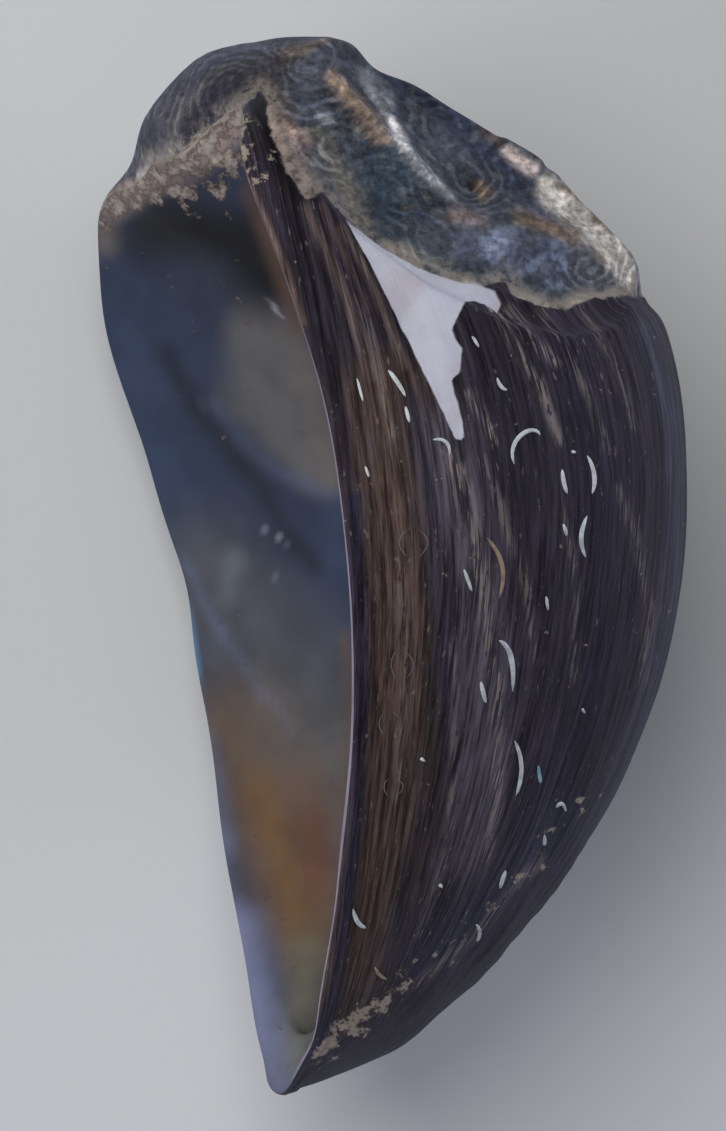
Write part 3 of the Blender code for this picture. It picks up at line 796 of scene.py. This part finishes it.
# The near lip, high up or at the base, is pale on its edge and browner towards the spire
HIGH_LIP = (11.5 * MM, 13.0 * MM)
BASE_LIP_Y = (-16.0 * MM, -14.0 * MM)
BASE_LIP_Z = (1.0 * MM, 3.5 * MM)
SPIRE_PART = (17.0 * MM, 22.0 * MM)
base_lip = soft_step(-lying[..., 1], *BASE_LIP_Y) * soft_step(lying[..., 2], *BASE_LIP_Z)
lip_row = np.zeros((ROWS, 1))
lip_row[RIM_ROW: RIM_ROW + LIP_RINGS + 1] = 1.0
lip_row[RIM_ROW + LIP_RINGS + 1: RIM_ROW + LIP_RINGS + 3] = ((0.6,), (0.2,))
lip_edge = lip_row * np.maximum(soft_step(lying[..., 2], *HIGH_LIP), base_lip)
inside = tint(inside, lip_edge, "#7c7580", 0.9)
inside = tint(inside, lip_edge * soft_step(lying[..., 1], *SPIRE_PART), "#4f423e", 0.9)
for pixels, width, soft, hex_colour, strength in MOUTH_STROKES:
    inside = tint(inside, stroke(lying, pixels, width, soft) * (1.0 - lip_edge), hex_colour, strength)

# Crumbly lime: under the ridge at the spire end of the mouth, at the base and along its far edge.
# Each stroke has its pixels, width, softness and strength.
CRUMBLY_STROKES = [
    ([(97, 200), (143, 176), (180, 168), (212, 144), (240, 120)], 22, 10, 1.3),
    ([(97, 212), (143, 192), (180, 184), (212, 164), (240, 144)], 24, 14, 1.05),
    ([(190, 196), (222, 182), (244, 150), (256, 170)], 36, 18, 0.85),
    ([(318, 1056), (345, 1036), (375, 1010), (398, 994)], 26, 14, 1.1),
    ([(400, 988), (440, 955), (500, 900), (560, 830), (600, 765)], 14, 24, 0.72),
    ([(258, 90), (250, 130), (262, 190)], 6, 8, 0.3),
    ([(344, 640), (347, 700), (343, 770)], 6, 8, 0.6),
]
crumbly = np.zeros(growth.shape)
for pixels, width, soft, strength in CRUMBLY_STROKES:
    crumbly = np.maximum(crumbly, stroke(wandered, pixels, width, soft) * near_side * strength)

# Wear has cut the layers of the spire in rings: pixel, reach in pixels, number of rings
SWIRLS = [
    (222, 92, 52, 7.0), (387, 187, 40, 5.0), (591, 274, 26, 4.0), (500, 250, 60, 4.0), (474, 186, 26, -2.5),
    (300, 70, 44, -4.0), (540, 165, 44, 3.0), (330, 150, 32, 3.0), (440, 130, 38, -3.0), (160, 140, 40, 3.0),
    (430, 235, 34, 3.5), (350, 210, 26, -2.5), (620, 240, 30, 2.5), (270, 45, 26, 2.0),
]
level = lying @ (np.array(SPIRE_NORMAL) / np.linalg.norm(SPIRE_NORMAL)) / MM
for column, row, reach, rings in SWIRLS:
    apart = ((wandered[..., :2] - seen_at(column, row)) ** 2).sum(-1) / (reach * PIXEL) ** 2
    level = level + rings * np.exp(-apart) * near_side

# The mesh keeps these numbers and colours for its materials to read
for name, values in (("growth", growth), ("run", run), ("worn", worn), ("bare", bare),
                     ("crumbly", crumbly), ("pale", pale), ("level", level)):
    layer = shell_mesh.attributes.new(name, "FLOAT", "POINT")
    layer.data.foreach_set("value", np.ascontiguousarray(values[row_of, column_of], dtype=np.float32))
for name, colours in (("outside", outside), ("outside_worn", outside_worn), ("inside", inside)):
    layer = shell_mesh.attributes.new(name, "FLOAT_COLOR", "POINT")
    rgba = np.ones((len(row_of), 4), dtype=np.float32)
    rgba[:, :3] = colours[row_of, column_of]
    layer.data.foreach_set("color", rgba.ravel())


def add(tree, kind, sockets=(), out=0, **settings):
    """Add one node and give back one output: sockets are values or links, in order or by name."""
    node = tree.nodes.new("ShaderNode" + kind)
    for name, value in settings.items():
        setattr(node, name, value)
    for name, value in sockets.items() if isinstance(sockets, dict) else enumerate(sockets):
        if isinstance(value, bpy.types.NodeSocket):
            tree.links.new(value, node.inputs[name])
        else:
            node.inputs[name].default_value = value
    return node.outputs[out]


# Horny skin: a thin dark coat over the lime, laid down line by line at the lip as the shell grows.
# It gives a nearly dull face with fine lines, and the spire is worn through to the layers of lime.
# Clouds are in waves for each millimetre. A Map Range has its value, from low, from high, to low and
# to high, and a Mix has its share at 0 and its two colours at 6 and 7.
SMOOTH = {"interpolation_type": "SMOOTHSTEP"}
MIX = {"data_type": "RGBA", "out": 2}
SKIN_UPRIGHT = 0.45
skin = bpy.data.materials.new("horny_skin")
skin.use_nodes = True
tree = skin.node_tree
surface = tree.nodes["Principled BSDF"]
# Place in millimetres, with the height drawn out so that no pattern looks hatched at the outline
place = add(tree, "TexCoord", out="Object")
place = add(tree, "VectorMath", (place, (1.0 / MM, 1.0 / MM, SKIN_UPRIGHT / MM)), operation="MULTIPLY")
back = add(tree, "Attribute", out="Fac", attribute_name="growth")
along_lip = add(tree, "Attribute", out="Fac", attribute_name="run")

# Growth lines are about 0.15 mm apart and bands about 0.9 mm. Real lines are finer too, but those
# would not show, so the finest is drawn at 0.1 mm.
drawn_out = add(tree, "Math", (along_lip, 0.05), operation="MULTIPLY")
line_place = add(tree, "CombineXYZ", (back, drawn_out))
fine_lines = add(tree, "TexNoise", {"Vector": line_place, "Scale": 6.4, "Detail": 4.0, "Roughness": 0.75})
wide_lines = add(tree, "TexNoise", {"Vector": line_place, "Scale": 1.1, "Detail": 2.0, "Roughness": 0.55})
mottle = add(tree, "TexNoise", {"Vector": place, "Scale": 0.45, "Detail": 4.0, "Roughness": 0.6})
fine_light = add(tree, "MapRange", (fine_lines, 0.36, 0.66, 0.35, 1.9), **SMOOTH)
wide_light = add(tree, "MapRange", (wide_lines, 0.35, 0.65, 0.78, 1.25), **SMOOTH)
lightness = add(tree, "Math", (fine_light, wide_light), operation="MULTIPLY")
painted = add(tree, "Attribute", out="Color", attribute_name="outside")
skin_colour = add(tree, "Mix", {0: 1.0, 6: painted, 7: lightness}, blend_type="MULTIPLY", **MIX)

# Lilac-grey streaks where the skin is rubbed, 0.4 mm wide and about eight times as long
drawn_out = add(tree, "Math", (along_lip, 0.12), operation="MULTIPLY")
rubbed_place = add(tree, "CombineXYZ", (back, drawn_out, 7.3))
rubbed = add(tree, "TexNoise", {"Vector": rubbed_place, "Scale": 2.6, "Detail": 4.0, "Roughness": 0.7})
rubbed = add(tree, "MapRange", (rubbed, 0.58, 0.70), **SMOOTH)
in_patches = add(tree, "MapRange", (mottle, 0.42, 0.6), **SMOOTH)
rubbed = add(tree, "Math", (rubbed, in_patches), operation="MULTIPLY")
rubbed = add(tree, "Math", (rubbed, 0.6), operation="MULTIPLY")
skin_colour = add(tree, "Mix", {0: rubbed, 6: skin_colour, 7: linear("#4b434f")}, **MIX)

# Specks of lime dust caught in the lines, 0.15 mm, and scratches along the pale lines, 0.1 mm
drawn_out = add(tree, "Math", (along_lip, 0.35), operation="MULTIPLY")
speck_place = add(tree, "CombineXYZ", (back, drawn_out, 3.1))
specks = add(tree, "TexNoise", {"Vector": speck_place, "Scale": 6.5, "Detail": 3.0, "Roughness": 0.6})
specked = add(tree, "MapRange", (specks, 0.64, 0.72), **SMOOTH)
specked = add(tree, "Math", (specked, 0.55), operation="MULTIPLY")
skin_colour = add(tree, "Mix", {0: specked, 6: skin_colour, 7: linear("#6e6763")}, **MIX)
scratches = add(tree, "TexNoise", {"Vector": line_place, "Scale": 9.0, "Detail": 2.0, "Roughness": 0.7})
scratches = add(tree, "MapRange", (scratches, 0.47, 0.56), **SMOOTH)
scratched = add(tree, "Attribute", out="Fac", attribute_name="pale")
scratched = add(tree, "Math", (scratched, scratches), operation="MULTIPLY")
broken = add(tree, "MapRange", (specks, 0.34, 0.46), **SMOOTH)
scratched = add(tree, "Math", (scratched, broken), operation="MULTIPLY")
scratched = add(tree, "Math", (scratched, 0.9), operation="MULTIPLY")
skin_colour = add(tree, "Mix", {0: scratched, 6: skin_colour, 7: linear("#8c8078")}, **MIX)

# Crumbs of lime, about 0.5 mm, lie where the mesh is marked as crumbly
crumbs = add(tree, "TexNoise", {"Vector": place, "Scale": 2.2, "Detail": 5.0, "Roughness": 0.7})
crumbly_here = add(tree, "Attribute", out="Fac", attribute_name="crumbly")
fewer = add(tree, "Math", (crumbly_here, 1.0), operation="SUBTRACT")
fewer = add(tree, "Math", (fewer, 0.2), operation="MULTIPLY")
flecks = add(tree, "Math", (crumbs, fewer), operation="ADD")
flecks = add(tree, "MapRange", (flecks, 0.46, 0.54), **SMOOTH)
skin_colour = add(tree, "Mix", {0: flecks, 6: skin_colour, 7: linear("#8b7f70")}, **MIX)

# The worn edge is ragged by about 0.25 mm
edge_noise = add(tree, "TexNoise", {"Vector": place, "Scale": 1.3, "Detail": 5.0, "Roughness": 0.65})
edge_noise = add(tree, "Math", (edge_noise, 0.5), operation="SUBTRACT")
edge_noise = add(tree, "Math", (edge_noise, 0.5), operation="MULTIPLY")
worn_edge = add(tree, "Attribute", out="Fac", attribute_name="worn")
worn_edge = add(tree, "Math", (worn_edge, edge_noise), operation="ADD")
is_worn = add(tree, "MapRange", (worn_edge, -0.03, 0.05), **SMOOTH)

# Layers of lime cut by the wear show as rings, 0.3 to 1 mm apart. Real layers are far thinner and
# show as lines of 0.1 mm, which would not show in the render.
layers = add(tree, "Attribute", out="Fac", attribute_name="level")
layers = add(tree, "Math", (layers, 0.9), operation="MULTIPLY")
waves = add(tree, "TexNoise", {"Vector": place, "Scale": 0.5, "Detail": 3.0, "Roughness": 0.45})
waves = add(tree, "Math", (waves, 4.5), operation="MULTIPLY")
layers = add(tree, "Math", (layers, waves), operation="ADD")
layer_lines = add(tree, "Math", (layers, 2.0 * math.pi), operation="MULTIPLY")
layer_lines = add(tree, "Math", (layer_lines, 0.0), operation="SINE")
layer_light = add(tree, "MapRange", (layer_lines, -0.2, 1.0, -0.22, 0.72), **SMOOTH)
rings_here = add(tree, "TexNoise", {"Vector": place, "Scale": 0.55, "Detail": 3.0, "Roughness": 0.6})
rings_here = add(tree, "MapRange", (rings_here, 0.40, 0.60, 0.12, 1.0), **SMOOTH)
layer_light = add(tree, "Math", (layer_light, rings_here), operation="MULTIPLY")
layer_light = add(tree, "Math", (layer_light, 1.0), operation="ADD")

# Grain of etched lime: real grains are under 0.05 mm, and are drawn at 0.2 mm
grain = add(tree, "TexNoise", {"Vector": place, "Scale": 5.0, "Detail": 3.0, "Roughness": 0.6})
grain_light = add(tree, "MapRange", (grain, 0.32, 0.68, 0.64, 1.4), **SMOOTH)
worn_light = add(tree, "Math", (layer_light, grain_light), operation="MULTIPLY")
tone = add(tree, "TexNoise", {"Vector": place, "Scale": 0.8, "Detail": 4.0, "Roughness": 0.6})
tone = add(tree, "MapRange", (tone, 0.34, 0.66, 0.7, 1.3), **SMOOTH)
worn_light = add(tree, "Math", (worn_light, tone), operation="MULTIPLY")
painted = add(tree, "Attribute", out="Color", attribute_name="outside_worn")
worn_colour = add(tree, "Mix", {0: 1.0, 6: painted, 7: worn_light}, blend_type="MULTIPLY", **MIX)
crumbled = add(tree, "MapRange", (crumbs, 0.52, 0.70), **SMOOTH)
crumbled = add(tree, "Math", (crumbled, 0.30), operation="MULTIPLY")
worn_colour = add(tree, "Mix", {0: crumbled, 6: worn_colour, 7: linear("#77725f")}, **MIX)
# Painted shade: the lowest places between the crumbs are darkened
sunken_shade = add(tree, "MapRange", (crumbs, 0.42, 0.30), **SMOOTH)
sunken_shade = add(tree, "Math", (sunken_shade, 0.5), operation="MULTIPLY")
worn_colour = add(tree, "Mix", {0: sunken_shade, 6: worn_colour, 7: linear("#1f2226")}, **MIX)

# A pale crust lines the worn edge, 0.5 mm wide
crust = add(tree, "MapRange", (worn_edge, 0.65, 0.1), **SMOOTH)
crust_crumbs = add(tree, "MapRange", (crumbs, 0.38, 0.56), **SMOOTH)
crust = add(tree, "Math", (crust, crust_crumbs), operation="MULTIPLY")
crust = add(tree, "Math", (crust, 0.62), operation="MULTIPLY")
worn_colour = add(tree, "Mix", {0: crust, 6: worn_colour, 7: linear("#8d8478")}, **MIX)

# Where the skin has flaked off, the lime beneath is smooth and lilac white
bare_edge = add(tree, "Math", (edge_noise, 0.2), operation="MULTIPLY")
bare_here = add(tree, "Attribute", out="Fac", attribute_name="bare")
bare_edge = add(tree, "Math", (bare_here, bare_edge), operation="ADD")
is_bare = add(tree, "MapRange", (bare_edge, -0.03, 0.03), **SMOOTH)
bare_tone = add(tree, "MapRange", (mottle, 0.35, 0.65), **SMOOTH)
bare_colour = add(tree, "Mix", {0: bare_tone, 6: linear("#b2b3bb"), 7: linear("#a49fa6")}, **MIX)
colour = add(tree, "Mix", {0: is_worn, 6: skin_colour, 7: worn_colour}, **MIX)
colour = add(tree, "Mix", {0: is_bare, 6: colour, 7: bare_colour}, **MIX)
tree.links.new(colour, surface.inputs["Base Color"])

# Lines and crumbs also stand out by up to 0.09 mm. The skin is a little smoother than the worn lime.
rough = add(tree, "MapRange", (fine_lines, 0.3, 0.7, 0.42, 0.58), **SMOOTH)
worn_rough = add(tree, "Math", (is_worn, 0.15), operation="MULTIPLY")
rough = add(tree, "Math", (rough, worn_rough), operation="ADD")
tree.links.new(rough, surface.inputs["Roughness"])
surface.inputs["Specular IOR Level"].default_value = 0.058
surface.inputs["Sheen Weight"].default_value = 0.07
surface.inputs["Sheen Roughness"].default_value = 0.35
surface.inputs["Sheen Tint"].default_value = linear("#a9b2e6")
height = add(tree, "Math", (fine_lines, wide_lines), operation="ADD")
height = add(tree, "Math", (height, 0.6), operation="MULTIPLY")
ring_height = add(tree, "Math", (layer_lines, 0.12), operation="MULTIPLY")
grain_height = add(tree, "Math", (grain, 0.5), operation="MULTIPLY")
crumb_height = add(tree, "Math", (crumbs, 0.9), operation="MULTIPLY")
worn_height = add(tree, "Math", (ring_height, grain_height), operation="ADD")
worn_height = add(tree, "Math", (worn_height, crumb_height), operation="ADD")
height = add(tree, "Mix", {0: is_worn, 6: height, 7: worn_height}, **MIX)
bump = add(tree, "Bump", {"Height": height, "Strength": 0.8, "Distance": 0.09 * MM})
tree.links.new(bump, surface.inputs["Normal"])

# Smooth lining and deck: dense lime with a faint gloss, stained in soft clouds of about 1.5 mm.
# Flecks of the crumbly lime, about 0.5 mm, stick to it by the ridge and stand 0.06 mm proud.
LINING_UPRIGHT = 0.4
lining_stuff = bpy.data.materials.new("smooth_lining")
lining_stuff.use_nodes = True
tree = lining_stuff.node_tree
surface = tree.nodes["Principled BSDF"]
place = add(tree, "TexCoord", out="Object")
place = add(tree, "VectorMath", (place, (1.0 / MM, 1.0 / MM, LINING_UPRIGHT / MM)), operation="MULTIPLY")
clouds = add(tree, "TexNoise", {"Vector": place, "Scale": 0.6, "Detail": 4.0, "Roughness": 0.5})
clouds = add(tree, "MapRange", (clouds, 0.3, 0.7, 0.86, 1.16), **SMOOTH)
painted = add(tree, "Attribute", out="Color", attribute_name="inside")
colour = add(tree, "Mix", {0: 1.0, 6: painted, 7: clouds}, blend_type="MULTIPLY", **MIX)
crumbs = add(tree, "TexNoise", {"Vector": place, "Scale": 2.0, "Detail": 5.0, "Roughness": 0.7})
crumbly_here = add(tree, "Attribute", out="Fac", attribute_name="crumbly")
fewer = add(tree, "Math", (crumbly_here, 1.0), operation="SUBTRACT")
fewer = add(tree, "Math", (fewer, 0.2), operation="MULTIPLY")
flecks = add(tree, "Math", (crumbs, fewer), operation="ADD")
fleck_tone = add(tree, "MapRange", (flecks, 0.46, 0.68), **SMOOTH)
fleck_colour = add(tree, "Mix", {0: fleck_tone, 6: linear("#54463d"), 7: linear("#93887b")}, **MIX)
is_fleck = add(tree, "MapRange", (flecks, 0.44, 0.52), **SMOOTH)
colour = add(tree, "Mix", {0: is_fleck, 6: colour, 7: fleck_colour}, **MIX)
tree.links.new(colour, surface.inputs["Base Color"])
bump = add(tree, "Bump", {"Height": is_fleck, "Strength": 0.6, "Distance": 0.06 * MM})
tree.links.new(bump, surface.inputs["Normal"])
surface.inputs["Roughness"].default_value = 0.65
surface.inputs["Specular IOR Level"].default_value = 0.1
shell_mesh.materials.append(skin)
shell_mesh.materials.append(lining_stuff)

# The empty egg cases
# Crescents of dried horny stuff, glued to the back and left there empty, and the faint scars of others.
# Each is a thin raised ribbon laid on the shell along a line of pixels: kind (white, tan, blue, or
# faint scar), width in pixels, and the line.
CASE_STEPS = 12
CASE_RISE = 0.10 * MM
SCAR_RISE = 0.03 * MM
CASE_EDGE_DEPTH = 0.01 * MM
CASE_END_WIDTH = 0.2
ABOVE_SHELL = 0.05
CASE_ARCS = [
    ("w", 5, [(388, 372), (397, 384), (405, 398)]), ("w", 4, [(405, 408), (409, 424)]),
    ("w", 3, [(357, 380), (363, 403)]), ("w", 3, [(471, 338), (478, 349)]),
    ("w", 4, [(496, 379), (500, 388), (506, 391)]),
    ("w", 5, [(539, 436), (531, 431), (520, 436), (512, 448), (513, 465)]),
    ("w", 4, [(570, 452), (574, 453)]),
    ("w", 5, [(586, 456), (593, 475), (591, 494)]), ("w", 4, [(561, 470), (562, 482), (566, 494)]),
    ("w", 5, [(586, 516), (580, 538), (585, 557)]), ("w", 3, [(562, 524), (565, 536)]),
    ("w", 4, [(432, 441), (445, 443), (449, 456)]), ("w", 3, [(365, 467), (369, 478)]),
    ("t", 5, [(486, 538), (497, 554), (502, 573), (498, 598)]), ("w", 4, [(463, 569), (471, 591)]),
    ("w", 3, [(545, 596), (547, 610)]), ("w", 6, [(498, 640), (510, 656), (512, 691)]),
    ("w", 5, [(480, 681), (485, 702)]), ("w", 5, [(514, 740), (521, 766), (516, 795)]),
    ("b", 4, [(538, 765), (540, 783)]), ("w", 4, [(556, 808), (562, 804), (566, 812)]),
    ("w", 3, [(545, 835), (544, 846)]), ("w", 5, [(506, 871), (500, 889)]),
    ("w", 4, [(476, 925), (480, 933), (477, 943)]), ("w", 5, [(353, 908), (358, 922), (366, 927)]),
    ("t", 4, [(375, 967), (379, 975), (387, 980)]), ("w", 4, [(420, 757), (424, 760)]),
    ("w", 4, [(439, 884), (442, 887)]), ("w", 3, [(582, 708), (584, 713)]),
    ("f", 2, [(408, 529), (399, 543), (408, 558)]), ("f", 2, [(417, 529), (427, 543), (417, 558)]),
    ("f", 2, [(396, 650), (391, 664), (396, 678)]), ("f", 2, [(404, 650), (413, 664), (405, 678)]),
    ("f", 2, [(384, 712), (379, 723), (384, 734)]), ("f", 2, [(392, 711), (400, 721), (394, 731)]),
    ("f", 2, [(388, 777), (384, 786), (388, 795)]), ("f", 2, [(394, 776), (403, 785), (397, 794)]),
]
case_mesh = bpy.data.meshes.new("egg_cases")
bm = bmesh.new()
for kind, width, pixels in CASE_ARCS:
    line = np.array([seen_at(*pixel) for pixel in pixels]) - box_middle
    at = np.linspace(0.0, 1.0, len(line))
    bend = [np.polyfit(at, line[:, axis], min(len(line) - 1, 3)) for axis in (0, 1)]
    made = bmesh.ops.create_grid(bm, x_segments=CASE_STEPS, y_segments=2, size=1.0)
    for vert in made["verts"]:
        t = 0.5 * (vert.co.x + 1.0)
        side = vert.co.y
        here = np.array([np.polyval(way, t) for way in bend])
        ahead = np.array([np.polyval(np.polyder(way), t) for way in bend])
        ahead /= max(np.linalg.norm(ahead), 1e-9)
        round_end = math.sqrt(max(1.0 - (2.0 * t - 1.0) ** 2, 0.0))
        taper = round_end * (1.0 - CASE_END_WIDTH) + CASE_END_WIDTH
        half = 0.5 * width * PIXEL * taper
        x, y = here + np.array([-ahead[1], ahead[0]]) * side * half
        place, normal, _, _ = shell_tree.ray_cast(Vector((x, y, ABOVE_SHELL)), Vector((0.0, 0.0, -1.0)))
        lift = (SCAR_RISE if kind == "f" else CASE_RISE) * taper * (1.0 - abs(side)) - CASE_EDGE_DEPTH
        vert.co = place + normal * math.copysign(lift, lift * normal.z)
    for face in {face for corner in made["verts"] for face in corner.link_faces}:
        face.material_index = "wtbf".index(kind)
        face.smooth = True
bmesh.ops.recalc_face_normals(bm, faces=bm.faces)
bm.to_mesh(case_mesh)
bm.free()
cases = bpy.data.objects.new("egg_cases", case_mesh)
scene.collection.objects.link(cases)
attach(cases, "root")

# Dried horn: dull, with blotches of about 0.3 mm that are lighter, darker and a little raised
CASE_COLOURS = (
    ("white_case", "#b4b8b8"), ("tan_case", "#86705a"), ("blue_case", "#7f9fb3"), ("faint_scar", "#5a5250"),
)
for name, hex_colour in CASE_COLOURS:
    stuff = bpy.data.materials.new(name)
    stuff.use_nodes = True
    tree = stuff.node_tree
    surface = tree.nodes["Principled BSDF"]
    place = add(tree, "TexCoord", out="Object")
    place = add(tree, "VectorMath", (place, (1.0 / MM, 1.0 / MM, 1.0 / MM)), operation="MULTIPLY")
    blotch = add(tree, "TexNoise", {"Vector": place, "Scale": 3.0, "Detail": 4.0, "Roughness": 0.6})
    shade = add(tree, "MapRange", (blotch, 0.35, 0.65, 0.72, 1.12), **SMOOTH)
    colour = add(tree, "Mix", {0: 1.0, 6: linear(hex_colour), 7: shade}, blend_type="MULTIPLY", **MIX)
    tree.links.new(colour, surface.inputs["Base Color"])
    bump = add(tree, "Bump", {"Height": blotch, "Strength": 0.5, "Distance": 0.03 * MM})
    tree.links.new(bump, surface.inputs["Normal"])
    surface.inputs["Roughness"].default_value = 0.6
    case_mesh.materials.append(stuff)

# The table
# A plain pale sheet of matt paper under the shell, wide enough to fill every view.
PAPER_HALF_SIDE = 0.6
bm = bmesh.new()
bmesh.ops.create_grid(bm, x_segments=1, y_segments=1, size=PAPER_HALF_SIDE)
floor_mesh = bpy.data.meshes.new("floor")
bm.to_mesh(floor_mesh)
bm.free()
floor = bpy.data.objects.new("floor", floor_mesh)
scene.collection.objects.link(floor)
paper = bpy.data.materials.new("pale_paper")
paper.use_nodes = True
paper.node_tree.nodes["Principled BSDF"].inputs["Base Color"].default_value = linear("#b4b4b2")
paper.node_tree.nodes["Principled BSDF"].inputs["Roughness"].default_value = 0.9
floor_mesh.materials.append(paper)

# The lights
# Soft boxes on both sides, low and slightly blue, give the light rims; a wide one hangs above, and the
# walls of the room send back a weak grey light.
AIM_HEIGHT = 0.012


def soft_box(name, place, size, power, colour):
    """A square area light aimed at the middle of the shell: place and size in metres, power in watts."""
    light = bpy.data.lights.new(name, "AREA")
    light.size = size
    light.energy = power
    light.color = linear(colour)[:3]
    lamp = bpy.data.objects.new(name, light)
    lamp.location = place
    aim = Vector((0.0, 0.0, AIM_HEIGHT)) - Vector(place)
    lamp.rotation_euler = aim.to_track_quat("-Z", "Y").to_euler()
    scene.collection.objects.link(lamp)


soft_box("overhead", (-0.06, 0.16, 0.38), 0.30, 1.5, "#ffffff")
soft_box("left_box", (-0.30, -0.08, 0.14), 0.22, 0.8, "#dfe8ff")
soft_box("right_box", (0.32, -0.06, 0.06), 0.20, 0.7, "#d8e0ff")
ROOM_GREY = (0.5, 0.5, 0.52, 1.0)
ROOM_STRENGTH = 0.35
world = bpy.data.worlds.new("studio")
world.use_nodes = True
world.node_tree.nodes["Background"].inputs["Color"].default_value = ROOM_GREY
world.node_tree.nodes["Background"].inputs["Strength"].default_value = ROOM_STRENGTH
scene.world = world

# The camera
# Straight above the lying shell, far off with a long lens, and turned so that the shell's long way
# leans as in the photograph.
PHOTO_MIDDLE = (363.0, 565.5)
FRAME_HEIGHT = 31.42 * MM
SHELL_LEVEL = 18.0 * MM
middle_x, middle_y = seen_at(*PHOTO_MIDDLE)
camera_data = bpy.data.cameras.new("camera")
camera_data.sensor_width = 36.0
camera_data.lens = 900.0
camera_data.dof.use_dof = False
camera = bpy.data.objects.new("camera", camera_data)
camera.location = (
    middle_x - box_middle[0],
    middle_y - box_middle[1],
    SHELL_LEVEL + FRAME_HEIGHT * camera_data.lens / camera_data.sensor_width,
)
camera.rotation_euler = (0.0, 0.0, -PHOTO_ROLL)
scene.collection.objects.link(camera)
scene.camera = camera
scene.view_settings.view_transform = "Standard"
